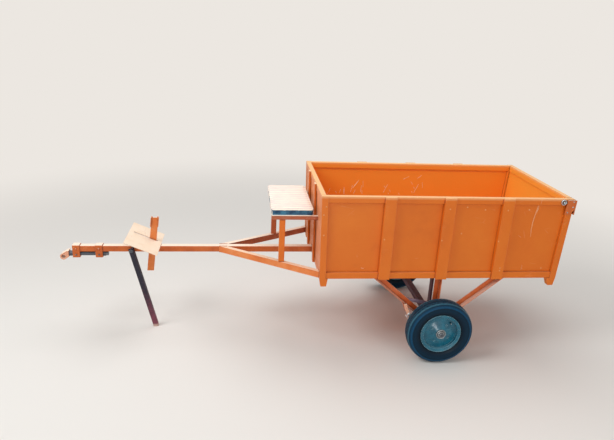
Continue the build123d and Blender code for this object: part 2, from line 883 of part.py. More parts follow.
with BuildPart() as brake_lever:
    lever_limits = (lever_y - lever_thickness / 2, lever_y + lever_thickness / 2)
    add(lever_slab(lever_bottom, lever_top, lever_width, *lever_limits))
    pad_limits = (lever_y - lever_thickness / 2, lever_y + pad_lip)
    add(lever_slab(lever_top - pad_height, lever_top, pad_width, *pad_limits))
    hollow_limits = (lever_y + lever_thickness / 2, lever_y + pad_lip)
    add(lever_slab(lever_top - pad_height, lever_top, pad_width - lever_thickness, *hollow_limits), mode=Mode.SUBTRACT)
finish(brake_lever.part, "brake_lever")

lever_pin_x, lever_pin_z = at(*lever_place(drawbar_middle, 0))
with BuildPart() as lever_pin:
    # columns: radius, limits across
    lengths = (
        (lever_pin_radius, lever_limits[1], -half_bar),
        (lever_pin_head, lever_limits[0] - lever_thickness, lever_limits[0]),
    )
    for radius, low, high in lengths:
        with BuildSketch(Plane.XZ.offset(-high)):
            with Locations((lever_pin_x, lever_pin_z)):
                Circle(radius)
        extrude(amount=high - low)
finish(lever_pin.part, "lever_pin")

# Seat: two side rails and a front rail on legs that stand on the A-frame, and the cushion
cushion_low = seat_top - cushion_thickness
rail_top = cushion_low - seat_clearance
rail_low = rail_top - seat_rail
rail_outer_y = seat_width / 2 - seat_rail_inset
rail_inner_y = rail_outer_y - seat_rail
with BuildPart() as seat_side_rails:
    for side in (1, -1):
        limits = side_limits(side, rail_inner_y, rail_outer_y)
        add(tube((-seat_rail_reach, rail_depth), (rail_low, rail_top), limits, Axis.X))
        # each rail's end is cut to the front wall's lean
        add(front_slab(rails_low, rails_high, front_recess, 2 * rail_depth, *limits), mode=Mode.SUBTRACT)
finish(seat_side_rails.part, "seat_side_rails")

with BuildPart() as seat_front_rail:
    across = (-rail_inner_y, rail_inner_y)
    add(tube((-seat_rail_reach, -seat_rail_reach + seat_rail), (rail_low, rail_top), across, Axis.Y))
finish(seat_front_rail.part, "seat_front_rail")

with BuildPart() as seat_legs:
    for side, reach in ((1, seat_leg_reach_left), (-1, seat_leg_reach_right)):
        leg_y = brace_corner_y - brace_across / 2 - reach * tan(brace_angle)
        limits = (-reach - seat_leg_width / 2, -reach + seat_leg_width / 2)
        across = side_limits(side, leg_y - seat_leg_depth / 2, leg_y + seat_leg_depth / 2)
        add(tube(limits, (brace_height / 2, rail_low), across, Axis.Z))
    # each leg's foot is cut to the brace's slope
    below = ((0, 0), (-brace_reach, 0), (-brace_reach, drawbar_top), (0, brace_height))
    add(side_slab(below, -half_width, half_width), mode=Mode.SUBTRACT)
finish(seat_legs.part, "seat_legs")

with BuildPart() as seat_cushion:
    middle_x, cushion_z = at(-seat_gap - seat_depth / 2, cushion_low)
    with BuildSketch(Plane.XY.offset(cushion_z)):
        with Locations((middle_x, 0)):
            RectangleRounded(seat_depth, seat_width, cushion_round)
    extrude(amount=cushion_thickness)
    fillet(seat_cushion.faces().sort_by(Axis.Z)[-1].edges(), radius=cushion_round / 2)
finish(seat_cushion.part, "seat_cushion")
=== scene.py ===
import json
import math

import bmesh
import bpy
from mathutils import Matrix, Vector, noise
from mathutils.bvhtree import BVHTree


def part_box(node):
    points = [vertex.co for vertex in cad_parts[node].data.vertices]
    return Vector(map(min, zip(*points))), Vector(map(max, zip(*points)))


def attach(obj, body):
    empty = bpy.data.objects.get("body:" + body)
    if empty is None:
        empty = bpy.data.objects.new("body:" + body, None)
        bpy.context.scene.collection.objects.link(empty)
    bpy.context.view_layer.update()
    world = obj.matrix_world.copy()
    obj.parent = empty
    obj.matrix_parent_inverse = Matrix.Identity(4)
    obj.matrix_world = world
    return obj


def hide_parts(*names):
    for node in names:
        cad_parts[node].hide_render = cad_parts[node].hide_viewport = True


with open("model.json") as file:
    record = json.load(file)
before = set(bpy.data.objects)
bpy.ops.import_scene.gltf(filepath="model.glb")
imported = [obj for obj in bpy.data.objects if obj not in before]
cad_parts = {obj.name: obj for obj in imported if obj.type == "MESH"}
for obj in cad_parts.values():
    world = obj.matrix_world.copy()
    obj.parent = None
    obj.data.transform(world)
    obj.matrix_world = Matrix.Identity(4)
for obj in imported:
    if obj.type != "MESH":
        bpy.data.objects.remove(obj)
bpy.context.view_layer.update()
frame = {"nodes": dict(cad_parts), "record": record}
print("frame loaded")

# Sizes that the pieces share with the solids, in millimetres. "back" is measured behind the foot of
# the front wall, "up" above the underside of the load box and y to the left of the middle.
mm = 0.001
trailer = {
    "frontX": -37.085, "boxUnder": 518, "boxLength": 1500, "boxHeight": 520, "halfWidth": 420, "rearFlare": 22,
    "rail": 40, "postWidth": 68, "postSpacing": 358, "panelY": 405, "wheelY": 509,
}


def spot(back, y, up):
    return Vector(((trailer["frontX"] - back) * mm, y * mm, (trailer["boxUnder"] + up) * mm))


# Camera: the place and turn that the photograph was taken from
cameraView = {"place": (0.4343, 3.4388, 1.9737), "yaw": 7.16, "pitch": 19.54, "roll": 2.83, "lens": 32.9}


def placeCamera(view):
    yaw, pitch, roll = (math.radians(view[key]) for key in ("yaw", "pitch", "roll"))
    forward = Vector((-math.sin(yaw) * math.cos(pitch), -math.cos(yaw) * math.cos(pitch), -math.sin(pitch)))
    level = Vector((-math.cos(yaw), math.sin(yaw), 0))
    upright = level.cross(forward)
    right = level * math.cos(roll) + upright * math.sin(roll)
    top = upright * math.cos(roll) - level * math.sin(roll)
    data = bpy.data.cameras.new("camera")
    data.lens = view["lens"]
    data.sensor_width = 36
    data.clip_end = 200
    camera = bpy.data.objects.new("camera", data)
    turn = Matrix((right, top, -forward)).transposed().to_4x4()
    camera.matrix_world = Matrix.Translation(view["place"]) @ turn
    bpy.context.scene.collection.objects.link(camera)
    bpy.context.scene.camera = camera


placeCamera(cameraView)
bpy.context.scene.view_settings.view_transform = "Standard"
print("camera placed")


def toLinear(code):
    parts = [int(code[i:i + 2], 16) / 255 for i in (1, 3, 5)]
    return tuple(c / 12.92 if c <= 0.04045 else ((c + 0.055) / 1.055) ** 2.4 for c in parts) + (1.0,)


def addNode(tree, kind, inputs, **settings):
    # an input may be a value, another node's socket, or a node, which gives its first output
    made = tree.nodes.new("ShaderNode" + kind)
    for name, value in settings.items():
        setattr(made, name, value)
    for name, value in inputs.items():
        if isinstance(value, bpy.types.Node):
            value = value.outputs[0]
        if isinstance(value, bpy.types.NodeSocket):
            tree.links.new(value, made.inputs[name])
        else:
            made.inputs[name].default_value = value
    return made


def layColour(tree, under, over, amount, limits=None, share=1.0, broken=None, **settings):
    # lays one colour over another as the amount goes from the first limit to the second, up to a
    # share, and only as far as the broken-up mask lets it; the mixer's colour sockets are 6 and 7
    if limits:
        amount = addNode(tree, "MapRange", {
            "Value": amount, "From Min": limits[0], "From Max": limits[1], "To Max": share}, **settings)
    if broken is not None:
        amount = addNode(tree, "Math", {0: amount, 1: broken}, operation="MULTIPLY")
    under, over = (toLinear(colour) if isinstance(colour, str) else colour for colour in (under, over))
    return addNode(tree, "Mix", {0: amount, 6: under, 7: over}, data_type="RGBA").outputs[2]


def startMaterial(name):
    material = bpy.data.materials.new(name)
    material.use_nodes = True
    tree = material.node_tree
    tree.nodes.clear()
    return material, tree, addNode(tree, "TexCoord", {}).outputs


def finishMaterial(material, sockets):
    shader = addNode(material.node_tree, "BsdfPrincipled", sockets)
    addNode(material.node_tree, "OutputMaterial", {"Surface": shader})
    return material


def findEdges(tree, radius):
    # a rounded normal, and how far it agrees with the face's own, which is less at an edge
    rounded = addNode(tree, "Bevel", {"Radius": radius * mm}, samples=4)
    surface = addNode(tree, "NewGeometry", {}).outputs["Normal"]
    return rounded, addNode(tree, "VectorMath", {0: rounded, 1: surface}, operation="DOT_PRODUCT").outputs["Value"]


edgeLimits = (0.995, 0.9)  # of the agreement of the two normals


def spreadRoughness(tree, pattern, look):
    # roughness that follows a pattern between the look's smoother and its rougher value
    smooth, rough = look["roughness"]
    return addNode(tree, "MapRange", {
        "Value": pattern, "From Min": 0.3, "From Max": 0.7, "To Min": smooth, "To Max": rough})


# Enamel on welded steel: sprayed over mill scale, left outdoors. The eye sees an even coat with slow
# changes of tone, pale chalk and dust with a painted sheen on what faces up, a painted sheen on what faces
# forwards, dark dirt and painted shade in corners, and thin rubbed edges.
orangeEnamel = {
    "base": "#DB6E14", "faded": "#E1791C", "dark": "#C96012", "fadeShare": 0.8, "darkShare": 0.6,
    "patchSize": 420, "brushSize": 9, "peelSize": 5, "peelDepth": 0.12, "dentSize": 210, "dentDepth": 0.7,
    "dustAndSheen": "#FBDCB8", "dustAndSheenShare": 0.86, "dustAndSheenFrom": 0.55,
    "rubbed": "#F3B184", "rubbedShare": 0.5, "edge": 1.6, "scratch": "#F6C9A4", "scratchShare": 0.12,
    "rust": "#8A4522", "rustShare": 0.35, "rustFrom": 0.69, "grimeAndShade": "#7A3210", "grimeAndShadeShare": 0.62,
    "grimeAndShadeReach": 9, "roughness": (0.4, 0.58), "forwardSheen": "#EFAE88", "forwardSheenShare": 0.34, "coat": 0.0,
}
# painted light: the box's inside is painted a brighter, more saturated orange for the light bounced about in it,
# and the gate's inside a yellower one
boxEnamel = {
    **orangeEnamel, "insideLit": "#F69834", "dustAndSheenLow": 0.3, "capSheenShare": 0.46, "dustAndSheenShare": 0.7, "dustAndSheen": "#FACB94",
}
gateEnamel = {**boxEnamel, "insideLit": "#F5A43C"}
legEnamel = {**orangeEnamel, "shadedSide": "#B0562C"}
frameEnamel = {
    **orangeEnamel, "base": "#C8642A", "faded": "#D27A44", "dark": "#A84A1E", "patchSize": 120,
    "dustAndSheen": "#FFECD8", "dustAndSheenShare": 0.97, "scratchShare": 0.3, "rustShare": 0.6, "rustFrom": 0.66,
    "grimeAndShadeReach": 22, "forwardSheenShare": 0.15,
}
# the struts' strong pale rubbed edges are partly a painted highlight along their lower edges
strutEnamel = {
    **frameEnamel, "base": "#CE6430", "faded": "#DC7E52", "dark": "#AE4622", "rubbed": "#F6C6A6",
    "rubbedShare": 0.9, "edge": 2.2,
}
# painted light: a lighter copy of the frame's enamel for the near brace
braceEnamel = {**frameEnamel, "base": "#E07E40", "faded": "#EA9A62", "dark": "#C8642E", "dustAndSheen": "#F8D8BC"}
leverEnamel = {**frameEnamel, "base": "#DC7838", "faded": "#E48C50", "dark": "#C8622A"}
# painted shade: a darker copy of the frame's enamel for the far brace and the seat rails under the cushion
shadedEnamel = {**frameEnamel, "base": "#AE5A38", "faded": "#C07A5C", "dark": "#8E4224"}
# the pale peach is partly a painted sheen of light on orange paint
headEnamel = {**frameEnamel, "base": "#E6A484", "faded": "#F2C0A4", "dark": "#CC825C", "dustAndSheenFrom": 0.2}
# the plate's pale cream is partly a painted sheen of sky light on its tilted top
plateEnamel = {
    **frameEnamel, "base": "#F8DEC2", "faded": "#FFEEDC", "dark": "#DDB78E", "patchSize": 70,
    "brushSize": 4, "peelSize": 4, "dentSize": 120, "dentDepth": 0.5, "dustAndSheen": "#FDE8D0", "dustAndSheenShare": 0.6,
    "rubbed": "#C98A62", "scratch": "#C48F6A", "scratchShare": 0.5, "rust": "#9A5A36", "rustShare": 0.35,
    "grimeAndShade": "#6A3A28", "grimeAndShadeShare": 0.45, "roughness": (0.5, 0.7),
}
rimEnamel = {
    **orangeEnamel, "base": "#0A5C72", "faded": "#1C7890", "dark": "#084258", "patchSize": 60,
    "dentSize": 70, "dentDepth": 0.25, "dustAndSheen": "#7FB4C6", "dustAndSheenShare": 0.35, "dustAndSheenFrom": 0.35,
    "rubbed": "#B4D6DF", "rubbedShare": 0.85, "edge": 1.8, "scratch": "#A9CBD6", "scratchShare": 0.3,
    "rust": "#4A4642", "rustShare": 0.3, "grimeAndShade": "#0E3448", "grimeAndShadeShare": 0.3, "roughness": (0.22, 0.36),
    "forwardSheenShare": 0.0, "coat": 0.3,
}
standEnamel = {
    **orangeEnamel, "base": "#24232F", "faded": "#302D3C", "dark": "#1A1924", "patchSize": 50,
    "brushSize": 5, "dentSize": 80, "dentDepth": 0.3, "dustAndSheen": "#5C5260", "dustAndSheenShare": 0.45, "dustAndSheenFrom": 0.5,
    "rubbed": "#7A4A55", "rubbedShare": 0.7, "scratch": "#8A6A70", "scratchShare": 0.5,
    "rust": "#864252", "rustShare": 0.7, "rustFrom": 0.6, "grimeAndShade": "#1A1620", "grimeAndShadeShare": 0.4,
    "roughness": (0.5, 0.75), "forwardSheenShare": 0.0,
}
standLegEnamel = {**standEnamel, "splashed": 560, "toe": 22, "bare": "#C9AC9E"}
tieEnamel = {**standEnamel, "base": "#8C7888", "faded": "#A892A2", "dark": "#6C5866", "rustShare": 0.4}
# painted shade: the axle beam and its hangers get a dark brown coat for the shade under the box
hangerEnamel = {**standEnamel, "base": "#553A44", "faded": "#6A4850", "dark": "#3C2830"}


def findInside(tree, where, normal, x, y, z):
    # 1 on what faces the inside of the box, between its side sheets and ahead of the leaning gate
    middle = tuple(spot(trailer["boxLength"] / 2, 0, trailer["boxHeight"] / 2))
    inwards = addNode(tree, "VectorMath", {0: middle, 1: where}, operation="SUBTRACT")
    facing = addNode(tree, "VectorMath", {0: inwards, 1: normal}, operation="DOT_PRODUCT").outputs["Value"]
    across = addNode(tree, "Math", {0: y}, operation="ABSOLUTE")
    lean = trailer["rearFlare"] / trailer["boxHeight"]
    upright = addNode(tree, "Math", {0: z, 1: lean, 2: x}, operation="MULTIPLY_ADD")
    gate = (trailer["frontX"] - trailer["boxLength"] - 7 + lean * trailer["boxUnder"]) * mm
    inside = 1.0
    for value, operation, limit in ((facing, "GREATER_THAN", 0.02), (upright, "GREATER_THAN", gate),
                                    (across, "LESS_THAN", (trailer["panelY"] + 2) * mm)):
        passed = addNode(tree, "Math", {0: value, 1: limit}, operation=operation)
        inside = addNode(tree, "Math", {0: passed, 1: inside}, operation="MULTIPLY")
    return inside


def makeEnamel(name, look):
    material, tree, place = startMaterial(name)
    where, normal = place["Object"], place["Normal"]
    x, y, z = addNode(tree, "SeparateXYZ", {0: where}).outputs
    facing = addNode(tree, "SeparateXYZ", {0: normal}).outputs
    # columns: size in millimetres, detail, roughness
    patches, fine, spots, kept, dents, peel = (
        addNode(tree, "TexNoise", {"Vector": where, "Scale": 1000 / size, "Detail": detail, "Roughness": rough})
        for size, detail, rough in (
            (look["patchSize"], 5, 0.62), (look["brushSize"], 6, 0.68), (26, 7, 0.75), (1000 / 11, 2, 0.5),
            (look["dentSize"], 1, 0.5), (look["peelSize"], 3, 0.5)))
    worn, broken = (
        addNode(tree, "MapRange", {"Value": fine, "From Min": 0.25, "From Max": 0.5, "To Min": least})
        for least in (0.6, 0.7))

    # patches of faded and of darker paint, then a pale painted sheen on forward-facing faces at the front wall and
    # ahead of it
    paint = layColour(tree, look["base"], look["faded"], patches, (0.48, 0.72), look["fadeShare"])
    paint = layColour(tree, paint, look["dark"], patches, (0.46, 0.3), look["darkShare"])
    ahead = addNode(tree, "Math", {0: x, 1: (trailer["frontX"] - 15) * mm}, operation="GREATER_THAN")
    paint = layColour(tree, paint, look["forwardSheen"], facing[0], (0.6, 0.95), look["forwardSheenShare"], ahead,
                      interpolation_type="SMOOTHSTEP")
    # painted light: what faces the inside of the box gets a brighter orange, as if lit by light bounced off its
    # floor
    if "insideLit" in look:
        paint = layColour(tree, paint, look["insideLit"], findInside(tree, where, normal, x, y, z))
    if "shadedSide" in look:  # painted shade: the far side, below y = 0, is painted darker and redder
        paint = layColour(tree, paint, look["shadedSide"], y, (0.05, -0.05))

    # dirt and painted shade in corners, rust spots, and rust that creeps up from the ground above a worn foot
    corner = addNode(tree, "AmbientOcclusion", {"Distance": look["grimeAndShadeReach"] * mm}, samples=6).outputs["AO"]
    paint = layColour(tree, paint, look["grimeAndShade"], corner, (0.86, 0.5), look["grimeAndShadeShare"], worn)
    rustFrom = look["rustFrom"]
    paint = layColour(tree, paint, look["rust"], spots, (rustFrom, rustFrom + 0.07), look["rustShare"])
    if "splashed" in look:
        reach, toe = look["splashed"] * mm, look["toe"] * mm
        ragged = addNode(tree, "Math", {0: spots, 1: reach, 2: z}, operation="MULTIPLY_ADD")
        paint = layColour(tree, paint, look["rust"], ragged, (reach, reach * 0.45), 0.9)
        paint = layColour(tree, paint, look["bare"], z, (toe, toe / 2), 0.8)

    # chalk and dust on what faces up, with a painted sheen of sky light laid in the same pale colour
    upwards = addNode(tree, "MapRange", {
        "Value": facing[2], "From Min": look["dustAndSheenFrom"], "From Max": 0.95, "To Max": look["dustAndSheenShare"]},
        interpolation_type="SMOOTHSTEP")
    if "dustAndSheenLow" in look:  # less of the dust and painted sheen on the lower ledges than on the top rails
        height = addNode(tree, "MapRange", {
            "Value": z, "From Min": 0.75, "From Max": 0.95, "To Min": look["dustAndSheenLow"]})
        upwards = addNode(tree, "Math", {0: upwards, 1: height}, operation="MULTIPLY")
    dustAndSheenAmount = addNode(tree, "Math", {0: upwards, 1: broken}, operation="MULTIPLY")
    paint = layColour(tree, paint, look["dustAndSheen"], dustAndSheenAmount)
    if "capSheenShare" in look:  # a pale band of painted sheen along the top edge of the box's walls
        top = trailer["boxUnder"] + trailer["boxHeight"]
        limits = ((top - 16) * mm, (top - 4) * mm)
        paint = layColour(tree, paint, look["dustAndSheen"], z, limits, look["capSheenShare"], broken)
    rounded, turned = findEdges(tree, look["edge"])
    paint = layColour(tree, paint, look["rubbed"], turned, edgeLimits, look["rubbedShare"], broken)

    # scratches: thin cell borders of a stretched pattern, kept only in some patches. A real one is
    # under 1 mm wide and wouldn't show, so they are drawn about 2 mm wide.
    slanted = addNode(tree, "Mapping", {"Vector": where, "Rotation": (0.5, 0.35, 0.2), "Scale": (5.0, 3.0, 16.0)})
    cells = addNode(tree, "TexVoronoi", {"Vector": slanted, "Scale": 1.0}, feature="DISTANCE_TO_EDGE")
    lines = addNode(tree, "MapRange", {"Value": cells.outputs["Distance"], "From Min": 0.012, "From Max": 0.004})
    paint = layColour(tree, paint, look["scratch"], kept, (0.6, 0.68), look["scratchShare"], lines)

    # relief: shallow dents of thin sheet, then the coat's orange peel
    relief = rounded
    for height, depth, strength in ((dents, look["dentDepth"], 1.0), (peel, look["peelDepth"], 0.6)):
        relief = addNode(tree, "Bump", {
            "Height": height, "Distance": depth * mm * 4, "Strength": strength, "Normal": relief})
    gloss = spreadRoughness(tree, fine, look)
    matt = addNode(tree, "Math", {0: gloss, 1: dustAndSheenAmount}, operation="MAXIMUM")
    return finishMaterial(material, {
        "Base Color": paint, "Roughness": matt, "IOR": 1.5, "Specular IOR Level": 0.35,
        "Coat Weight": look["coat"], "Coat Roughness": 0.16, "Normal": relief})


# Bare or oiled steel: turned, forged or cold drawn. The eye sees dark blue-grey metal with fine
# turning lines, brown stains and brighter rubbed spots. Plated steel is paler. Where paint covers
# or replaces the metal, such as on welds and in scratches, the same stains lie on a plain coat.
darkSteel = {"base": "#5A6068", "stain": "#5E4436", "bright": "#A9AEB2", "roughness": (0.35, 0.6)}
zincSteel = {"base": "#B4BDC2", "stain": "#8A8680", "bright": "#E4E8EA", "roughness": (0.25, 0.45)}
dustySteel = {**zincSteel, "base": "#E8E4E2", "stain": "#CDBBB4", "bright": "#FFFFFF"}
primer = {"base": "#FFF2D2", "stain": "#FFD8A2", "bright": "#FFF6E2", "roughness": (0.5, 0.7)}
thinEnamel = {**primer, "base": "#F9CE98", "stain": "#F0AC6A"}
weldSteel = {"base": "#A8552A", "stain": "#7A3A22", "bright": "#D98A58", "roughness": (0.45, 0.65)}
plugSteel = {**weldSteel, "base": "#E8A060", "stain": "#C87A3C"}


def makeSteel(name, look, metallic):
    material, tree, place = startMaterial(name)
    where = place["Object"]
    stains, grain = (
        addNode(tree, "TexNoise", {"Vector": where, "Scale": 1000 / size, "Detail": detail, "Roughness": rough})
        for size, detail, rough in ((22, 6, 0.7), (3, 4, 0.5)))
    metal = layColour(tree, look["base"], look["stain"], stains, (0.5, 0.66), 0.8)
    rounded, turned = findEdges(tree, 1.2)
    metal = layColour(tree, metal, look["bright"], turned, edgeLimits, 0.8)
    relief = addNode(tree, "Bump", {"Height": grain, "Distance": 0.5 * mm, "Strength": 0.6, "Normal": rounded})
    gloss = spreadRoughness(tree, stains, look)
    return finishMaterial(material, {
        "Base Color": metal, "Metallic": metallic, "Roughness": gloss, "Normal": relief})


# Vulcanised rubber: moulded, weathered. The eye sees a blue-black wall with painted sheen in brighter rings, a
# painted highlight as a paler line round the shoulder, and dust with painted sheen in the tread.
tyreRubber = {
    "tread": "#081C2A", "dustAndSheen": "#183244", "roughness": (0.34, 0.52), "treadFrom": 203.5,
    # columns: distance from the axle in millimetres, colour of the wall there
    "rings": ((126, "#02101A"), (137, "#051A28"), (150, "#062234"), (168, "#072A3E"), (177, "#062030"),
              (184, "#10486A"), (192, "#0D3A56"), (198, "#08283C"), (202, "#3C7086"), (204.5, "#0C2C40")),
}


def makeRubber(name, look, centre):
    material, tree, place = startMaterial(name)
    where = place["Object"]
    bloom, speckle, grain = (
        addNode(tree, "TexNoise", {"Vector": where, "Scale": 1000 / size, "Detail": detail, "Roughness": rough})
        for size, detail, rough in ((45, 5, 0.65), (9, 5, 0.7), (2.5, 3, 0.5)))
    fromAxle = addNode(tree, "VectorMath", {0: where, 1: centre}, operation="SUBTRACT")
    flat = addNode(tree, "VectorMath", {0: fromAxle, 1: (1.0, 0.0, 1.0)}, operation="MULTIPLY")
    radius = addNode(tree, "VectorMath", {0: flat}, operation="LENGTH").outputs["Value"]
    (near, nearColour), *between, (far, farColour) = look["rings"]
    waver = 2.5  # how far the rings wander, in millimetres
    wavy = addNode(tree, "Math", {0: bloom, 1: waver * mm, 2: radius}, operation="MULTIPLY_ADD")
    share = addNode(tree, "MapRange", {
        "Value": wavy, "From Min": (near + 1.2) * mm, "From Max": (far + 1.2) * mm})
    wall = addNode(tree, "ValToRGB", {"Fac": share})
    stops = wall.color_ramp.elements
    stops[0].color, stops[1].color = toLinear(nearColour), toLinear(farColour)
    for reach, colour in between:
        stops.new((reach - near) / (far - near)).color = toLinear(colour)
    rubber = layColour(tree, wall.outputs["Color"], look["tread"], speckle, (0.42, 0.7), 0.4)
    tread = look["treadFrom"] * mm
    rubber = layColour(tree, rubber, look["dustAndSheen"], radius, (tread, tread + 1 * mm), 0.5, speckle)
    relief = addNode(tree, "Bump", {"Height": grain, "Distance": 0.3 * mm, "Strength": 0.25})
    gloss = spreadRoughness(tree, bloom, look)
    return finishMaterial(material, {
        "Base Color": rubber, "Roughness": gloss, "IOR": 1.52, "Specular IOR Level": 0.12, "Normal": relief})


# Cotton duck over foam: plain woven. The eye sees a chalky cream top with a fine thread grid, soft
# stains, and a dark blue band round the sides. Threads are 0.8 mm apart and drawn 3 mm apart.
seatCloth = {
    "cream": "#FFF3E2", "blush": "#F7DFD6", "blue": "#3A7896", "deep": "#1A3E5E", "green": "#2C6670",
    "thread": 3.0, "weaveDepth": 0.35, "ragged": 18, "fold": 22, "foldDepth": 1.6,
    "channel": 41, "shadow": "#C9BCC2",
}


def makeCloth(name, look, bandLow, bandHigh):
    material, tree, place = startMaterial(name)
    where = place["Object"]
    y, z = addNode(tree, "SeparateXYZ", {0: where}).outputs[1:]
    facing = addNode(tree, "SeparateXYZ", {0: place["Normal"]}).outputs
    stains, wander, patches = (
        addNode(tree, "TexNoise", {"Vector": where, "Scale": 1000 / size, "Detail": detail, "Roughness": rough})
        for size, detail, rough in ((110, 5, 0.6), (50, 4, 0.5), (60, 3, 0.55)))
    cream = layColour(tree, look["cream"], look["blush"], stains, (0.45, 0.7), 0.8)
    # painted shade in the sewn channels
    wandering = addNode(tree, "Math", {0: wander, 1: 5 * mm, 2: y}, operation="MULTIPLY_ADD")
    away = addNode(tree, "Math", {0: wandering, 1: look["channel"] / 2 * mm}, operation="PINGPONG")
    cream = layColour(tree, cream, look["shadow"], away, (5 * mm, 1.5 * mm), 0.55, interpolation_type="SMOOTHSTEP")
    blue = layColour(tree, look["blue"], look["deep"], patches, (0.4, 0.6))
    blue = layColour(tree, blue, look["green"], stains, (0.55, 0.65), 0.6)

    # the blue band: below a torn upper edge, on the sides, and patchy at the hitch end
    ragged = addNode(tree, "Math", {0: wander, 1: -look["ragged"] * mm, 2: z}, operation="MULTIPLY_ADD")
    edge = bandHigh - look["ragged"] / 2 * mm
    # columns: value, where the mask is 0, where it is 1
    below, above, onWalls, forwards, kept = (
        addNode(tree, "MapRange", {"Value": value, "From Min": none, "From Max": full})
        for value, none, full in (
            (ragged, edge + 1 * mm, edge - 1 * mm), (z, bandLow - 1 * mm, bandLow + 1 * mm),
            (facing[2], 0.8, 0.6), (facing[0], 0.5, 0.8), (stains, 0.5, 0.56)))
    inBand = addNode(tree, "Math", {0: below, 1: above}, operation="MULTIPLY")
    onSides = addNode(tree, "Math", {0: inBand, 1: onWalls}, operation="MULTIPLY")
    bare = addNode(tree, "Math", {0: forwards, 1: kept}, operation="MULTIPLY")
    bandAmount = addNode(tree, "Math", {0: onSides, 1: bare}, operation="SUBTRACT", use_clamp=True)
    cloth = layColour(tree, cream, blue, bandAmount)

    # relief: shallow creases that run along the trailer, then the weave
    stretched = addNode(tree, "Mapping", {"Vector": where, "Scale": (3.0, 1000 / look["fold"], 6.0)})
    creases = addNode(tree, "TexNoise", {
        "Vector": stretched, "Scale": 1.0, "Detail": 2.0, "Roughness": 0.5, "Distortion": 0.4})
    warp, weft = (
        addNode(tree, "TexWave", {
            "Vector": where, "Scale": 1000 / look["thread"] / 20 * math.pi, "Distortion": 0.4, "Detail": 1.0},
            bands_direction=way).outputs["Fac"]
        for way in ("X", "Y"))
    weave = addNode(tree, "Math", {0: warp, 1: weft}, operation="MAXIMUM")
    relief = addNode(tree, "Bump", {"Height": creases, "Distance": look["foldDepth"] * mm, "Strength": 1.0})
    relief = addNode(tree, "Bump", {
        "Height": weave, "Distance": look["weaveDepth"] * mm, "Strength": 0.7, "Normal": relief})
    rough = addNode(tree, "MapRange", {"Value": weave, "To Min": 0.75, "To Max": 0.9})
    return finishMaterial(material, {
        "Base Color": cloth, "Roughness": rough, "IOR": 1.5, "Sheen Weight": 0.15, "Normal": relief})


tyreLow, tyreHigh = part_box("tyre_left")
axle = (tyreLow + tyreHigh) / 2
cushionLow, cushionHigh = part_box("seat_cushion")
boxPaint = makeEnamel("enamelOrangeBox", boxEnamel)
framePaint = makeEnamel("enamelOrangeWeathered", frameEnamel)
leverPaint = makeEnamel("enamelOrangeLever", leverEnamel)
headPaint = makeEnamel("enamelPeachWithSheen", headEnamel)
zinc = makeSteel("steelZincPlated", zincSteel, 0.9)
dustyZinc = makeSteel("steelZincDusty", dustySteel, 0.2)
weldPaint = makeSteel("weldPaintedOver", weldSteel, 0.0)
plugPaint = makeSteel("weldRubbedBright", plugSteel, 0.0)
scratchedPaint = makeSteel("primerShowingThrough", primer, 0.0)
thinnedPaint = makeSteel("enamelScratchedThin", thinEnamel, 0.0)
piping = makeCloth("cottonPiping", seatCloth, -1.0, -1.0)
slotFinishes = {
    "orange_paint": makeEnamel("enamelOrangeSprayed", orangeEnamel),
    "plate_paint": makeEnamel("enamelCreamBrushed", plateEnamel),
    "rim_paint": makeEnamel("enamelTealSprayed", rimEnamel),
    "stand_paint": makeEnamel("enamelDarkBrushed", standEnamel),
    "bare_steel": makeSteel("steelTurnedDark", darkSteel, 0.85),
    "tyre": makeRubber("rubberMoulded", tyreRubber, tuple(axle)),
    "seat_cloth": makeCloth("cottonDuckWoven", seatCloth, cushionLow.z + 4 * mm, cushionHigh.z - 5 * mm),
}
# columns: a finish, and the nodes that wear it in place of their slot's; a last _ means left and right
nodeFinishes = {}
for finish, nodes in (
        (boxPaint, "side_rails_ side_panel_ side_posts_ front_frame front_panel floor_frame floor_panel"),
        (framePaint, "drawbar hitch_collars footplate_gussets gate_latches"),
        (leverPaint, "brake_lever"),
        (headPaint, "hitch_head"),
        (makeEnamel("enamelOrangeGate", gateEnamel), "tailgate_frame tailgate_panel"),
        (makeEnamel("enamelOrangeBraceLit", braceEnamel), "a_frame_left"),
        (makeEnamel("enamelOrangeLegs", legEnamel), "seat_legs"),
        (makeEnamel("enamelOrangeUnderneath", strutEnamel), "strut_front_ strut_rear_ strut_post_ brake_plate_"),
        (makeEnamel("enamelGreyTies", tieEnamel), "strut_tie_"),
        (makeEnamel("enamelDarkAxlePaintedShade", hangerEnamel), "axle_beam axle_hanger_"),
        (makeEnamel("enamelOrangePaintedShade", shadedEnamel), "a_frame_right seat_side_rails seat_front_rail"),
        (makeEnamel("enamelDarkRusting", standLegEnamel), "stand_leg")):
    for node in nodes.split():
        for end in ("left", "right") if node.endswith("_") else ("",):
            nodeFinishes[node + end] = finish

for row in frame["record"]["subparts"]:
    data = frame["nodes"][row["node"]].data
    data.materials.clear()
    data.materials.append(nodeFinishes.get(row["node"], slotFinishes[row["material_slot"]]))
print("finishes made")

sides = ((1, "left"), (-1, "right"))
sideways = Vector((0, 1, 0))
downwards = Vector((0, 0, -1))


# Shapes are gathered as points and faces in metres, and one piece is made from each gathering.
def newShape():
    return {"points": [], "faces": []}


def addRings(shape, rings, closeEnds, closeLoop=False):
    start, count = len(shape["points"]), len(rings[0])
    for ring in rings:
        shape["points"].extend(ring)
    for i in range(len(rings) if closeLoop else len(rings) - 1):
        a, b = start + i * count, start + (i + 1) % len(rings) * count
        for j in range(count):
            k = (j + 1) % count
            shape["faces"].append((a + j, a + k, b + k, b + j))
    if closeEnds:
        last = start + (len(rings) - 1) * count
        shape["faces"] += [tuple(range(start + count - 1, start - 1, -1)), tuple(range(last, last + count))]


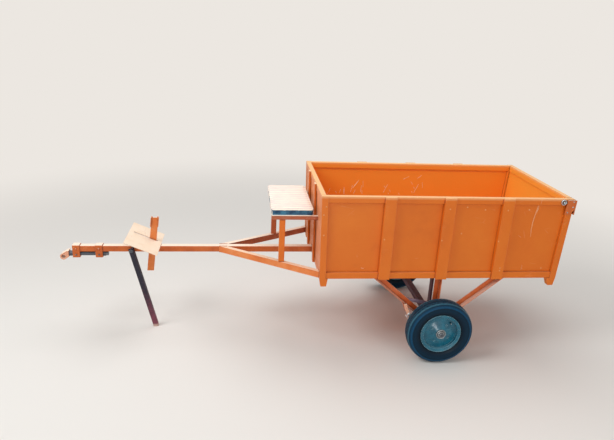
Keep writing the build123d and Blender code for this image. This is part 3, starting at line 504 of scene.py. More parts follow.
def axes(direction):
    along = Vector(direction).normalized()
    side = along.cross((0, 0, 1)) if abs(along.z) < 0.9 else along.cross((1, 0, 0))
    side.normalize()
    return along, side, along.cross(side)


def ringAround(middle, side, other, radius, steps, start=0.0):
    # points on a circle about a place, across two directions; the radius is in millimetres
    angles = [start + 2 * math.pi * i / steps for i in range(steps)]
    return [middle + (side * math.cos(a) + other * math.sin(a)) * radius * mm for a in angles]


def addTurned(shape, profile, centre, direction, steps, start=0.0, closed=False):
    # profile: pairs of distance along the direction and radius, in millimetres
    along, side, other = axes(direction)
    rings = [ringAround(centre + along * distance * mm, side, other, radius, steps, start)
             for distance, radius in profile]
    addRings(shape, rings, not closed, closed)


def addBead(shape, start, end, size, ripple):
    # a weld bead: a rippled, slightly wandering rope of metal
    side, other = axes(end - start)[1:]
    count = max(2, round((end - start).length / mm / ripple)) * 3  # three rings for each ripple
    rings = []
    for i in range(count + 1):
        middle = start.lerp(end, i / count)
        swell = (0.72, 1.0, 1.08)[i % 3] if 0 < i < count else 0.35
        radius = size * swell * (1 + 0.06 * noise.noise(middle * 90))
        rings.append(ringAround(middle, side, other, radius, 6))
    addRings(shape, rings, True)


def addBolt(shape, centre, direction, size, washer=True):
    # size is across the corners of the hexagon
    if washer:
        addTurned(shape, ((0, size * 0.66), (1.6, size * 0.66), (1.6, size * 0.3)), centre, direction, 20)
        centre = centre + direction * 1.6 * mm
    tall = size * 0.65
    addTurned(shape, ((0, size / 2), (tall * 0.8, size / 2), (tall, size * 0.42)), centre, direction, 6, 0.3)


def addRibbon(shape, points, normal, width, lift):
    # a thin raised line along points on a flat face, tapered at its ends
    normal, last = Vector(normal), len(points) - 1
    rings = []
    for i, point in enumerate(points):
        ahead = points[min(i + 1, last)] - points[max(i - 1, 0)]
        taper = 0.35 if i in (0, last) else 1.0
        across = ahead.cross(normal).normalized() * width / 2 * taper * mm
        sunk = point - normal * 0.1 * mm
        rings.append([sunk + across, point + normal * lift * mm, sunk - across])
    addRings(shape, rings, True)


def addDome(shape, centre, direction, radius, height):
    profile = [(height * math.sin(a * math.pi / 8), radius * math.cos(a * math.pi / 8)) for a in range(4)]
    addTurned(shape, [(-0.2, radius)] + profile, centre, direction, 12)


def addRingTube(shape, centre, direction, radius, thickness):
    angles = [math.pi * i / 4 for i in range(8)]
    profile = [(math.sin(a) * thickness, radius + math.cos(a) * thickness) for a in angles]
    addTurned(shape, profile, centre, direction, 32, closed=True)


def makePiece(name, shape, finish, body, sharp=35, merge=True):
    mesh = bpy.data.meshes.new(name)
    mesh.from_pydata([tuple(p) for p in shape["points"]], [], shape["faces"])
    work = bmesh.new()
    work.from_mesh(mesh)
    if merge:
        bmesh.ops.remove_doubles(work, verts=work.verts, dist=0.02 * mm)
    bmesh.ops.recalc_face_normals(work, faces=work.faces)
    work.to_mesh(mesh)
    work.free()
    mesh.polygons.foreach_set("use_smooth", [True] * len(mesh.polygons))
    mesh.set_sharp_from_angle(angle=math.radians(sharp))
    mesh.materials.append(finish)
    piece = bpy.data.objects.new(name, mesh)
    bpy.context.scene.collection.objects.link(piece)
    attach(piece, body)
    return piece


def wheelCentre(side):
    return Vector((axle.x, side * trailer["wheelY"] * mm, axle.z))


def onCircle(angle, radius, out=0.0):
    # the way from the axle to a place round it, for a radius and a distance out in millimetres
    return Vector((math.cos(angle) * radius * mm, out * mm, math.sin(angle) * radius * mm))


# Tyres: a crowned carcass with two zigzag grooves, short shoulder slots and moulded rings on the wall
tyre = {
    # columns: distance out from the middle, distance from the axle
    "wall": ((27, 111), (33, 112), (35.6, 116), (36.0, 124.5), (38.6, 128), (40.6, 129.4), (41.6, 131.6),
             (43.5, 135), (47.2, 142), (49.8, 150), (51.2, 160), (51.6, 170), (51.3, 176), (51.9, 177.6),
             (51.9, 179.6), (50.9, 181.2), (49.8, 185), (48.0, 189.4), (45.2, 193.6), (41.6, 197.4),
             (37.8, 200.2)),
    "treadHalf": 35, "crown": 206, "edge": 201.8, "treadSteps": 38,
    "pitches": 38, "stepsPerPitch": 8, "groove": 3.8, "grooveAt": 13, "zigzag": 3.0, "depth": 4.0,
    "slotFrom": 25, "slotShare": 0.2, "slotDepth": 2.0,
}


def treadRelief(out, share, look):
    # share runs from 0 to 1 along one pitch of the tread
    wave = (abs(share - 0.5) * 4 - 1) * look["zigzag"]
    for middle in (-look["grooveAt"], look["grooveAt"]):
        if abs(out - middle - wave) < look["groove"] / 2 + 0.4:
            return look["depth"]
    if look["slotFrom"] < abs(out) < look["treadHalf"] - 1 and share < look["slotShare"]:
        return look["slotDepth"]
    return 0.0


def makeTyre(side, end, look):
    half, steps, pitch = look["treadHalf"], look["treadSteps"], look["stepsPerPitch"]
    tread = []
    for i in range(steps + 1):
        out = half * (2 * i / steps - 1)
        tread.append((out, look["crown"] - (look["crown"] - look["edge"]) * (out / half) ** 2))
    profile = [(-out, radius) for out, radius in look["wall"]] + tread + list(reversed(look["wall"]))
    around = look["pitches"] * pitch
    rings = []
    for i in range(around):
        share = i % pitch / pitch
        ring = []
        for out, radius in profile:
            turned = (share + 0.5) % 1 if out < 0 else share
            drop = treadRelief(out, turned, look) if abs(out) <= half else 0.0
            ring.append(wheelCentre(side) + onCircle(2 * math.pi * i / around, radius - drop, side * out))
        rings.append(ring)
    shape = newShape()
    addRings(shape, rings, False, True)
    piece = makePiece("road_tyre_" + end, shape, slotFinishes["tyre"], "wheel_" + end, 50)
    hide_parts("tyre_left" if side > 0 else "tyre_right")


# Rims: pressed halves with rolled flanges, a dropped well, the coned disc and what is fixed to it
rim = {
    # columns of every profile: distance out from the middle, distance from its own centre line
    "barrel": ((-37.0, 112), (-37.0, 122), (-38.2, 125.6), (-40.4, 127.2), (-42.6, 126.4), (-43.2, 124.2),
               (-41.6, 123.2), (-40.2, 121.4), (-39.8, 110), (-38.4, 107.2), (-24, 105.6), (-18, 99), (4, 99),
               (10, 105.6), (38.4, 107.2), (39.8, 110), (40.2, 121.4), (41.6, 123.2), (43.2, 124.2),
               (42.6, 126.4), (40.4, 127.2), (38.2, 125.6), (37.0, 122), (37.0, 112), (35, 109.6), (12, 108.6),
               (5, 102), (-19, 102), (-26, 108.6), (-35, 109.6)),
    "disc": ((16.5, 104), (16.4, 94), (17.5, 88), (20.4, 80), (24.5, 70), (26, 60), (26, 31), (42, 31),
             (39.4, 38), (35.8, 48), (32.2, 58), (28.5, 68), (25.0, 78), (22.6, 85), (21.2, 91), (20.8, 98),
             (21.4, 106)),
    "hubRing": ((48, 20), (48, 24), (49.2, 25), (50.2, 27), (49.2, 29), (48, 29.6), (46, 29.6), (46, 20)),
    "stem": ((19, 4.6), (25, 4.4), (27, 3.6), (34, 3.2), (35, 2.8)), "cap": ((34, 3.5), (40, 3.5), (41, 2.8)),
    "stemAngle": 2.3, "stemReach": 88,
    "steps": 96, "bolts": 4, "boltCircle": 62, "boltFace": 31.4, "boltSize": 10, "boltAngle": 0.55,
}


def makeRim(side, end, look):
    name, body = "pressed_rim_" + end, "wheel_" + end
    centre, outwards = wheelCentre(side), sideways * side
    shape = newShape()
    for profile in (look["barrel"], look["disc"]):
        addTurned(shape, profile, centre, outwards, look["steps"], closed=True)
    piece = makePiece(name, shape, slotFinishes["rim_paint"], body, 40, merge=False)
    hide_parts("rim_left" if side > 0 else "rim_right")
    shape = newShape()
    for i in range(look["bolts"]):
        angle = look["boltAngle"] + 2 * math.pi * i / look["bolts"]
        place = centre + onCircle(angle, look["boltCircle"], side * look["boltFace"])
        addBolt(shape, place, outwards, look["boltSize"])
    makePiece(name + "_bolts", shape, slotFinishes["rim_paint"], body)

    # the collar round the hub's end face, then a rubber valve with a metal cap
    foot = centre + onCircle(look["stemAngle"], look["stemReach"])
    for part, key, place, steps, finish, slotName in (
            ("_hub_ring", "hubRing", centre, 48, zinc, "bare_steel"),
            ("_valve", "stem", foot, 16, slotFinishes["tyre"], "tyre"),
            ("_valve_cap", "cap", foot, 12, zinc, "bare_steel")):
        shape = newShape()
        addTurned(shape, look[key], place, outwards, steps, closed=key == "hubRing")
        makePiece(name + part, shape, finish, body)


for side, end in sides:
    makeTyre(side, end, tyre)
    makeRim(side, end, rim)


# Axle ends: a thick washer, a slotted crown on the nut and the split pin through it
axleEnd = {
    # columns: distance out, radius
    "washer": ((557.1, 19.5), (559.7, 19.5), (560.1, 18.8)),
    "tooth": ((0, 2.9), (4.4, 2.9), (5.0, 2.2)), "teeth": 6, "toothReach": 12, "nutEnd": 569.3,
    "pin": ((-17, 2.1), (16.4, 2.1), (17, 1.26)), "pinOut": 571.7, "pinTilt": (0.5, 0, 1),
    "pinLeg": ((0, 1.5), (8, 1.4), (8.6, 0.8)), "legsBelow": 16, "legLeans": (-0.5, 0.9),
}


def makeAxleEnd(name, side, look):
    centre, outwards = Vector((axle.x, 0, axle.z)), sideways * side
    shape = newShape()
    addTurned(shape, look["washer"], centre, outwards, 32)
    for i in range(look["teeth"]):
        angle = 2 * math.pi * (i + 0.5) / look["teeth"]
        place = centre + onCircle(angle, look["toothReach"], side * look["nutEnd"])
        addTurned(shape, look["tooth"], place, outwards, 8)
    middle, tilt = centre + outwards * look["pinOut"] * mm, Vector(look["pinTilt"])
    foot = middle - tilt.normalized() * look["legsBelow"] * mm
    addTurned(shape, look["pin"], middle, tilt, 10)
    for lean in look["legLeans"]:
        addTurned(shape, look["pinLeg"], foot, (lean, side * 0.1, -0.8), 8)
    makePiece(name, shape, zinc, "trailer")


for side, end in sides:
    makeAxleEnd("axle_end_" + end, side, axleEnd)
print("wheels made")


# Seat cushion: a foam pad swollen under its cover by a cloth simulation, then piped round both edges
cushion = {
    "inset": 3.5, "overhang": 7, "corner": 18, "voxel": 5.0,
    "pressure": 4.0, "tension": 20, "bending": 4, "cap": 5.0, "frames": 20,  # of the cover as it swells
    # columns: share of the height, how far the outline is cut back there
    "sections": ((0.0, 3.0), (0.12, 0.0), (0.5, 1.0), (0.88, 0.0), (1.0, 3.0)),
    "channelWidth": 4.5, "channelDepth": 4.0, "piping": 2.6, "pipeHeights": (0.07, 0.9),
    "core": (90, 200),  # half of the middle part that the piping is drawn in towards
    "seamInsets": (20, 34), "seamEnds": 14, "seam": 0.9, "spacing": 9,
}
cushionMiddle = (cushionLow + cushionHigh) / 2


def roundedOutline(low, high, corner, perCorner=6):
    points = []
    for cx, cy, start in ((high.x - corner, high.y - corner, 0.0), (low.x + corner, high.y - corner, 0.5),
                          (low.x + corner, low.y + corner, 1.0), (high.x - corner, low.y + corner, 1.5)):
        for i in range(perCorner + 1):
            angle = math.pi * (start + 0.5 * i / perCorner)
            points.append((cx + math.cos(angle) * corner, cy + math.sin(angle) * corner))
    return points


def swellPad(piece, look):
    # the cover is blown up a little by the foam's pressure, and no point moves more than the cap
    scene = bpy.context.scene
    cloth = piece.modifiers.new("swell", "CLOTH")
    cloth.settings.use_pressure = True
    cloth.settings.uniform_pressure_force = look["pressure"]
    cloth.settings.effector_weights.gravity = 0
    cloth.settings.tension_stiffness = look["tension"]
    cloth.settings.bending_stiffness = look["bending"]
    rest = [v.co.copy() for v in piece.data.vertices]
    scene.frame_start, scene.frame_end = 1, look["frames"]
    for step in range(1, look["frames"] + 1):
        scene.frame_set(step)
    swollen = piece.evaluated_get(bpy.context.evaluated_depsgraph_get())
    moved = [v.co.copy() for v in swollen.data.vertices]
    piece.modifiers.remove(cloth)
    scene.frame_set(1)
    cap = look["cap"] * mm
    for vertex, start, end in zip(piece.data.vertices, rest, moved):
        shift = end - start
        if shift.length > cap:
            shift = shift.normalized() * cap
        vertex.co = start + shift
        vertex.co.z = max(vertex.co.z, cushionLow.z)  # flat where it lies on its rails


def makeCushion(look):
    inset = Vector((look["inset"], look["inset"], 0)) * mm
    low, high = cushionLow + inset, cushionHigh - inset + Vector((look["overhang"], 0, 0)) * mm
    rings = []
    for share, cut in look["sections"]:
        shrink = Vector((cut, cut, 0)) * mm
        height = low.z + (high.z - low.z - 2.0 * mm) * share
        outline = roundedOutline(low + shrink, high - shrink, look["corner"] * mm)
        rings.append([Vector((x, y, height)) for x, y in outline])
    shape = newShape()
    addRings(shape, rings, True)
    piece = makePiece("cushion", shape, slotFinishes["seat_cloth"], "trailer")
    piece.parent = None
    bpy.context.view_layer.objects.active = piece
    piece.data.remesh_voxel_size = look["voxel"] * mm
    bpy.ops.object.select_all(action="DESELECT")
    piece.select_set(True)
    bpy.ops.object.voxel_remesh()
    swellPad(piece, look)
    # sewn channels that run along the trailer and pull the top down
    pitch = seatCloth["channel"]
    for vertex in piece.data.vertices:
        if vertex.co.z > cushionMiddle.z + 6 * mm:
            away = pitch / 2 - abs(vertex.co.y / mm % pitch - pitch / 2)
            vertex.co.z -= look["channelDepth"] * mm * math.exp(-(away / look["channelWidth"]) ** 2)
    finer = piece.modifiers.new("smooth", "SUBSURF")
    finer.levels = finer.render_levels = 1
    bpy.ops.object.modifier_apply(modifier=finer.name)
    piece.data.polygons.foreach_set("use_smooth", [True] * len(piece.data.polygons))
    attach(piece, "trailer")
    return piece


def evenPoints(points, spacing, closed):
    # the same line with a point about every so many millimetres
    result = []
    pairs = zip(points, points[1:] + points[:1]) if closed else zip(points, points[1:])
    for start, end in pairs:
        count = max(1, round((end - start).length / mm / spacing))
        result.extend(start.lerp(end, i / count) for i in range(count))
    return result if closed else result + [points[-1]]


def addCord(shape, path, thickness, closed):
    rings = []
    for i, point in enumerate(path):
        before = path[i - 1] if closed or i else point
        after = path[(i + 1) % len(path)] if closed or i < len(path) - 1 else point
        side, other = axes(after - before)[1:]
        rings.append(ringAround(point, side, other, thickness, 8))
    addRings(shape, rings, not closed, closed)


def makeSeams(look, pad):
    # piping and stitched seams laid on the swollen cover
    cover = BVHTree.FromPolygons([v.co for v in pad.data.vertices], [p.vertices for p in pad.data.polygons])

    def findCover(start, inward, near):
        return cover.ray_cast(start, inward)[0] or cover.find_nearest(near)[0]

    outline = [Vector((x, y, 0)) for x, y in roundedOutline(cushionLow, cushionHigh, look["corner"] * mm)]
    pipes, stitches = newShape(), newShape()
    for share in look["pipeHeights"]:
        height = cushionLow.z + (cushionHigh.z - cushionLow.z) * share
        path = []
        for point in evenPoints(outline, look["spacing"], True):
            outside = Vector((point.x, point.y, height))
            aim = [min(max(p, middle - half * mm), middle + half * mm)
                   for p, middle, half in zip(point, cushionMiddle, look["core"])]
            inward = (Vector((*aim, height)) - outside).normalized()
            path.append(findCover(outside - inward * 0.05, inward, outside) - inward * look["piping"] * 0.35 * mm)
        addCord(pipes, path, look["piping"], True)
    makePiece("cushion_piping", pipes, piping, "trailer")
    for side in (1, -1):
        for inset in look["seamInsets"]:
            y = side * (cushionHigh.y - inset * mm)
            ends = [Vector((x, y, cushionHigh.z)) for x in (
                cushionLow.x + look["seamEnds"] * mm, cushionHigh.x - look["seamEnds"] * mm)]
            path = [findCover(point - downwards * 0.03, downwards, point) - downwards * look["seam"] * 0.2 * mm
                    for point in evenPoints(ends, look["spacing"], False)]
            addCord(stitches, path, look["seam"], False)
    makePiece("cushion_seams", stitches, piping, "trailer")


pad = makeCushion(cushion)
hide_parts("seat_cushion")
makeSeams(cushion, pad)
print("cushion made")


# Weld beads where bars, struts, posts and straps meet. A row is a start and an end as (back, y, up).
welds = {
    "size": 2.9, "ripple": 5.5, "stitch": 24, "stitchUp": 8,
    "middle": (((-982, -18, 48.6), (-982, 18, 48.6)), ((-1484, -17, 48.4), (-1484, 17, 48.4)),
               ((-1387, -17, 48.4), (-1387, 17, 48.4)), ((-1344, -17, 48.4), (-1344, 17, 48.4))),
    "bothSides": (
        ((0, 403, 40), (0, 367.6, 40)), ((0, 403, 3), (0, 403, 38)), ((0, 367.6, 3), (0, 367.6, 38)),  # braces
        ((-609, 20, 48), (-556, 20, 47.4)), ((-609, 20, 8), (-556, 20, 7.4)), ((0, 20, 9), (0, 20, 47)),  # drawbar
        ((-4.8, 261, 320), (-4.8, 261, 342)),  # seat rails
        ((336, 384, -0.5), (389, 384, -0.5)), ((1164, 384, -0.5), (1111, 384, -0.5)),  # struts
        ((730, 384.5, -330), (730, 384.5, -294)), ((770, 384.5, -330), (770, 384.5, -294)),
        ((733, 384.5, -292), (763, 384.5, -292)), ((733, 384.5, -0.5), (763, 384.5, -0.5)),
        ((743.5, 272, -291.5), (743.5, 308, -291.5))),
    # each seat leg has a bead along both edges of both ends
    "legs": ((-220, 247.2), (-242, -233.3)), "legHalf": 12.5, "legEnds": (43, 318.4), "legBead": 16,
}


def makeWelds(look):
    lines = list(look["middle"])
    for back, y in look["legs"]:
        for edge in (y - look["legHalf"], y + look["legHalf"]):
            for up in look["legEnds"]:
                lines.append(((back - look["legBead"], edge, up), (back + look["legBead"], edge, up)))
    for side in (1, -1):
        lines += [[(back, side * y, up) for back, y, up in line] for line in look["bothSides"]]
        y = side * trailer["halfWidth"]
        for step in (-1, 0, 1):
            for edge in (-trailer["postWidth"] / 2, trailer["postWidth"] / 2):
                back = trailer["boxLength"] / 2 + step * trailer["postSpacing"] + edge
                for rail in (0, trailer["boxHeight"] - trailer["rail"]):
                    low = rail + look["stitchUp"]
                    lines.append(((back, y, low), (back, y, low + look["stitch"])))
    shape = newShape()
    for start, end in lines:
        addBead(shape, spot(*start), spot(*end), look["size"], look["ripple"])
    makePiece("weld_beads", shape, weldPaint, "trailer", 60)


makeWelds(welds)

# Marks on the sheets, as (back, up): scratches through the paint, plug welds and the hem of the sheets.
# A scratch is 1 to 2 mm wide, and is drawn wider so that it shows.
marks = {
    "scratchWidth": 3.0, "farWidth": 8.6, "lift": 0.2, "plug": 4.6, "plugHeight": 1.3,
    "hemY": 402, "hemBacks": (42, 500, 1000, 1478), "hemUp": 469, "hemWidth": 5, "hemLift": 1.6,
    "railScratches": (((1314, 514), (1312, 482)),),
    "nearScratches": (((1308, 478), (1305, 464), (1297, 413), (1291, 368), (1290, 316), (1294, 270)),
                      ((1312, 478), (1310, 452), (1304, 426)), ((250, 68), (262, 62), (272, 65)),
                      ((1273, 84), (1278, 54)), ((1270, 66), (1274, 50)), ((1214, 282), (1232, 268))),
    "farScratches": (((167, 326), (160, 300)), ((154, 294), (149, 282)), ((206, 306), (216, 291)),
                     ((268, 337), (270, 310), (272, 284)), ((334, 330), (350, 356), (374, 391)),
                     ((404, 384), (408, 339)), ((402, 316), (404, 286)), ((563, 350), (577, 333)),
                     ((604, 320), (616, 303)), ((674, 299), (685, 287)), ((760, 384), (777, 365)),
                     ((785, 346), (793, 329)), ((773, 314), (780, 297)), ((806, 410), (835, 433)),
                     ((318, 300), (330, 352)), ((352, 318), (340, 286)), ((392, 300), (396, 352)),
                     ((590, 362), (560, 300)), ((596, 298), (604, 290)), ((700, 402), (742, 424)),
                     ((820, 366), (790, 300)), ((846, 380), (852, 340)), ((236, 292), (246, 322))),
    "postPlugs": ((371, 262), (723, 257), (749, 454), (1106, 450), (1079, 252), (1118, 76), (1118, 58)),
    "cornerPlugs": ((16, 457), (4, 408), (11, 282)),
    "panelPlugs": ((865, 458), (851, 291), (978, 443), (1254, 446), (1403, 62)),
}


def makeMarks(look):
    # pairs: y of the face that is marked, key of its marks
    for name, finish, lines, width in (
            ("near_scratches", thinnedPaint, ((420, "railScratches"), (405, "nearScratches")), "scratchWidth"),
            ("far_scratches", scratchedPaint, ((-402, "farScratches"),), "farWidth")):
        scratches = newShape()
        for y, key in lines:
            for line in look[key]:
                points = [spot(back, y, up) for back, up in line]
                addRibbon(scratches, points, sideways, look[width], look["lift"])
        makePiece(name, scratches, finish, "trailer")
    plugs, hems = newShape(), newShape()
    for side in (1, -1):
        for y, key in ((434, "postPlugs"), (423, "cornerPlugs"), (405, "panelPlugs")):
            for back, up in look[key]:
                addDome(plugs, spot(back, side * y, up), sideways * side, look["plug"], look["plugHeight"])
        points = [spot(back, side * look["hemY"], look["hemUp"]) for back in look["hemBacks"]]
        addRibbon(hems, points, sideways * -side, look["hemWidth"], look["hemLift"])
    makePiece("plug_welds", plugs, plugPaint, "trailer")
    makePiece("panel_hems", hems, boxPaint, "trailer")


makeMarks(marks)

# Tailgate furniture: the ring round each catch, rivets in the latch straps and screws in the hinge leaves
gateFurniture = {
    "catchAhead": 66, "catchUp": 500, "gateTop": 516, "ring": 15, "ringTube": 3, "ringOut": 3.2,
    # domes: radius and height; the knob of a catch, then the rivets and screws
    "knob": (8.5, 3.5), "knobOut": 10.5, "rivet": (4.4, 2.6), "screw": (4.2, 2.2),
    "rivetY": 433, "rivets": ((8, 506), (8, 474), (36, 440)),  # columns: ahead of the gate's back, up
    "hingeY": 250, "sillScrews": ((-20, 20), (-20, 32), (20, 20), (20, 32)), "sillBack": 1504,
    "leafScrewUps": (60, 72), "leafBack": 3.4,
}


def rearAt(up):
    return trailer["boxLength"] + trailer["rearFlare"] * up / trailer["boxHeight"]


def makeGateFurniture(look):
    rings, rivets, screws, leafScrews = newShape(), newShape(), newShape(), newShape()
    for side in (1, -1):
        outwards, hinge = sideways * side, side * look["hingeY"]
        catch = spot(rearAt(look["gateTop"]) - look["catchAhead"], side * trailer["halfWidth"], look["catchUp"])
        addRingTube(rings, catch + outwards * look["ringOut"] * mm, outwards, look["ring"], look["ringTube"])
        addDome(rings, catch + outwards * look["knobOut"] * mm, outwards, *look["knob"])
        for ahead, up in look["rivets"]:
            addDome(rivets, spot(rearAt(up) - ahead, side * look["rivetY"], up), outwards, *look["rivet"])
        for across, up in look["sillScrews"]:
            addDome(screws, spot(look["sillBack"], hinge + across, up), (-1, 0, 0), *look["screw"])
        for up in look["leafScrewUps"]:
            place = spot(rearAt(up) + look["leafBack"], hinge, up)
            addDome(leafScrews, place, (-1, 0, 0.05), *look["screw"])
    for name, shape, body in (("catch_rings", rings, "trailer"), ("latch_rivets", rivets, "tailgate"),
                              ("hinge_screws", screws, "trailer"), ("gate_leaf_screws", leafScrews, "tailgate")):
        makePiece(name, shape, zinc, body)


makeGateFurniture(gateFurniture)
print("box dressed")

# Hitch: set screws and grease nipples in the collars, a steel bush in the eye, a split pin in the tail
hitch = {
    "collars": (-1505.5, -1365.5), "collarHalf": 25, "screwUp": 28, "screw": 10, "nippleUp": -10,
    "nipple": ((0, 4.5), (3, 4.5), (3.4, 2.6), (8, 2.4), (8.6, 3.0), (10.4, 2.2)),
    "eye": (-1585, 0, -24), "tail": (-1318.7, 0, -10), "pin": ((-16.4, 2.0), (16.4, 2.0)),
    "bush": ((-23.6, 12.8), (-23.6, 16.4), (-22.8, 17), (22.8, 17), (23.6, 16.4), (23.6, 12.8)),
    "pinHead": ((15.4, 3.1), (16.6, 3.1)),
}


def makeHitch(look):
    screws, nipples, bush, pin = newShape(), newShape(), newShape(), newShape()
    y = look["collarHalf"]
    for back in look["collars"]:
        for side in (1, -1):
            addBolt(screws, spot(back, side * y, look["screwUp"]), sideways * side, look["screw"], washer=False)
        addTurned(nipples, look["nipple"], spot(back, y, look["nippleUp"]), sideways, 12)
    addTurned(bush, look["bush"], spot(*look["eye"]), sideways, 32, closed=True)
    addTurned(pin, look["pin"], spot(*look["tail"]), sideways, 10)
    addTurned(pin, look["pinHead"], spot(*look["tail"]), sideways, 12)
    makePiece("collar_screws", screws, framePaint, "trailer")
    makePiece("grease_nipples", nipples, slotFinishes["bare_steel"], "trailer")
    makePiece("eye_bush", bush, headPaint, "hitch")
    makePiece("tail_pin", pin, zinc, "hitch")


makeHitch(hitch)

# Brake lever: two horns on the foot pad that keep a boot from sliding off
lever = {"back": -1016, "y": -28, "top": 217, "across": 19, "lean": 6.7, "horn": ((0, 4.2), (15, 4.2), (17, 2.52))}


def makeLever(look):
    shape = newShape()
    way = (-math.tan(math.radians(look["lean"])) * 0.2, 0, 1)  # the horns lean less than the lever
    for across in (-look["across"], look["across"]):
        addTurned(shape, look["horn"], spot(look["back"] - across, look["y"], look["top"]), way, 14)
    makePiece("lever_horns", shape, leverPaint, "trailer")


makeLever(lever)

# Brake anchors: a strap bowed through three places, with the clamp, its nuts and a short spring
anchor = {
    "strap": ((532, -162.6), (584, -258.3), (678, -312)), "strapWidth": 19, "strapSheet": 3.6, "strapSteps": 18,
    "face": 446.6, "nuts": ((570, -227), (588, -246)), "washer": ((-0.4, 10.5), (4.9, 10.5), (4.9, 4)),
    "nut": ((4.9, 6), (6.6, 6), (6.9, 5.04)), "spring": ((557, -243), (581, -271)), "springIn": 12,
    "turns": 6, "coil": 6, "wire": 1.3, "rod": 2.2, "rodSpare": 4,
}


def arcThrough(a, b, c, count):
    # the centre and radius of the circle through three (back, up) places, and the angles between them
    ax, ay, bx, by, cx, cy = *a, *b, *c
    d = 2 * (ax * (by - cy) + bx * (cy - ay) + cx * (ay - by))
    squares = [x * x + y * y for x, y in (a, b, c)]
    mx = (squares[0] * (by - cy) + squares[1] * (cy - ay) + squares[2] * (ay - by)) / d
    my = (squares[0] * (cx - bx) + squares[1] * (ax - cx) + squares[2] * (bx - ax)) / d
    first, last = (math.atan2(y - my, x - mx) for x, y in (a, c))
    turn = (last - first + math.pi) % (2 * math.pi) - math.pi
    return mx, my, math.hypot(ax - mx, ay - my), [first + turn * i / count for i in range(count + 1)]


def makeAnchor(name, side, look):
    face, outwards = look["face"], sideways * side
    shape = newShape()
    for back, up in look["nuts"]:
        for key, steps in (("washer", 18), ("nut", 6)):
            addTurned(shape, look[key], spot(back, side * face, up), outwards, steps)
    start, end = (spot(back, side * (face - look["springIn"]), up) for back, up in look["spring"])
    along, across, other = axes(end - start)
    steps = look["turns"] * 12
    coil = [start.lerp(end, i / steps) + (across * math.cos(a) + other * math.sin(a)) * look["coil"] * mm
            for i, a in ((i, i * math.pi / 6) for i in range(steps + 1))]
    addCord(shape, coil, look["wire"], False)
    spare = look["rodSpare"]
    addTurned(shape, ((-spare, look["rod"]), ((end - start).length / mm + spare, look["rod"])), start, along, 10)
    makePiece(name, shape, dustyZinc, "trailer")

    # the strap's flat side, seen from beside the wheel
    strap, rings = newShape(), []
    mx, my, radius, angles = arcThrough(*look["strap"], look["strapSteps"])
    inner, outer = radius - look["strapWidth"] + 1, radius + 1
    near, far = side * (face - 0.5), side * (face + look["strapSheet"])
    for a in angles:
        rings.append([spot(mx + reach * math.cos(a), y, my + reach * math.sin(a))
                      for reach, y in ((inner, near), (outer, near), (outer, far), (inner, far))])
    addRings(strap, rings, True)
    makePiece(name + "_strap", strap, headPaint, "trailer")


for side, end in sides:
    makeAnchor("brake_anchor_" + end, side, anchor)
print("frame dressed")

# Floor, backdrop and lamps
studio = {
    "floor": "#E9E6E1", "floorSize": 60, "sky": "#FFFFFF", "skyStrength": 0.4,
    "backdrop": "#ECE7E1", "fadeFrom": 1.7, "fadeTo": 5.0, "lampsAim": (-0.5, 0, 0.5),
    "lamps": (
        {"name": "key", "place": (3.4, 1.6, 4.2), "size": 2.6, "power": 120},
        {"name": "fill", "place": (-1.6, 4.6, 2.6), "size": 3.2, "power": 34},
        {"name": "low", "place": (-0.3, 5.0, 0.5), "size": 0.8, "power": 24},
        {"name": "top", "place": (-0.6, -1.0, 4.6), "size": 3.0, "power": 70},
    ),
}


def addSeenRays(tree):
    # 1 for the rays that show the background: from the camera, off gloss and through glass
    rays = addNode(tree, "LightPath", {}).outputs
    seen = rays["Is Camera Ray"]
    for kind in ("Is Glossy Ray", "Is Transmission Ray"):
        seen = addNode(tree, "Math", {0: seen, 1: rays[kind]}, operation="MAXIMUM")
    return seen


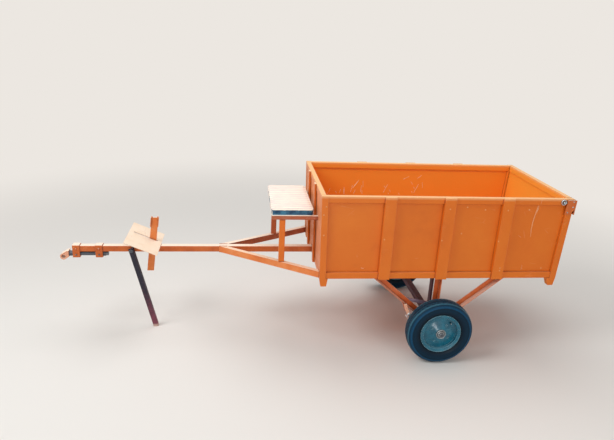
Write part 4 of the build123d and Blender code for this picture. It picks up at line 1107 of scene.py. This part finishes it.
def makeFloor(look):
    half = look["floorSize"] / 2
    mesh = bpy.data.meshes.new("floor")
    mesh.from_pydata([(-half, -half, 0), (half, -half, 0), (half, half, 0), (-half, half, 0)], [], [(0, 1, 2, 3)])
    floor = bpy.data.objects.new("floor", mesh)
    bpy.context.scene.collection.objects.link(floor)
    # matt paper that fades, for the camera and for gloss, into the backdrop's colour far from the object
    material, tree, place = startMaterial("paperPale")
    grain = addNode(tree, "TexNoise", {"Vector": place["Object"], "Scale": 1.5, "Detail": 3.0})
    tone = addNode(tree, "MapRange", {"Value": grain, "To Min": 0.88, "To Max": 0.92})
    lit = addNode(tree, "BsdfPrincipled", {"Base Color": toLinear(look["floor"]), "Roughness": tone})
    far = addNode(tree, "Emission", {"Color": toLinear(look["backdrop"]), "Strength": 1.0})
    away = addNode(tree, "VectorMath", {0: place["Object"]}, operation="LENGTH").outputs["Value"]
    fade = addNode(tree, "MapRange", {
        "Value": away, "From Min": look["fadeFrom"], "From Max": look["fadeTo"]}, interpolation_type="SMOOTHSTEP")
    amount = addNode(tree, "Math", {0: fade, 1: addSeenRays(tree)}, operation="MULTIPLY")
    faded = addNode(tree, "MixShader", {0: amount, 1: lit, 2: far})
    addNode(tree, "OutputMaterial", {"Surface": faded})
    mesh.materials.append(material)


def makeWorld(look):
    world = bpy.data.worlds.new("studio")
    world.use_nodes = True
    tree = world.node_tree
    tree.nodes.clear()
    shown = addSeenRays(tree)
    strength = addNode(tree, "MapRange", {"Value": shown, "To Min": look["skyStrength"], "To Max": 1.0})
    colour = layColour(tree, look["sky"], look["backdrop"], shown)
    back = addNode(tree, "Background", {"Color": colour, "Strength": strength})
    addNode(tree, "OutputWorld", {"Surface": back})
    bpy.context.scene.world = world


def makeLamps(look):
    for lamp in look["lamps"]:
        data = bpy.data.lights.new(lamp["name"], "AREA")
        data.shape = "DISK"
        data.size = lamp["size"]
        data.energy = lamp["power"]
        light = bpy.data.objects.new(lamp["name"], data)
        light.location = lamp["place"]
        light.rotation_mode = "QUATERNION"
        light.rotation_quaternion = (Vector(look["lampsAim"]) - light.location).to_track_quat("-Z", "Y")
        light.visible_camera = False
        bpy.context.scene.collection.objects.link(light)


makeFloor(studio)
makeWorld(studio)
makeLamps(studio)
print("studio lit")
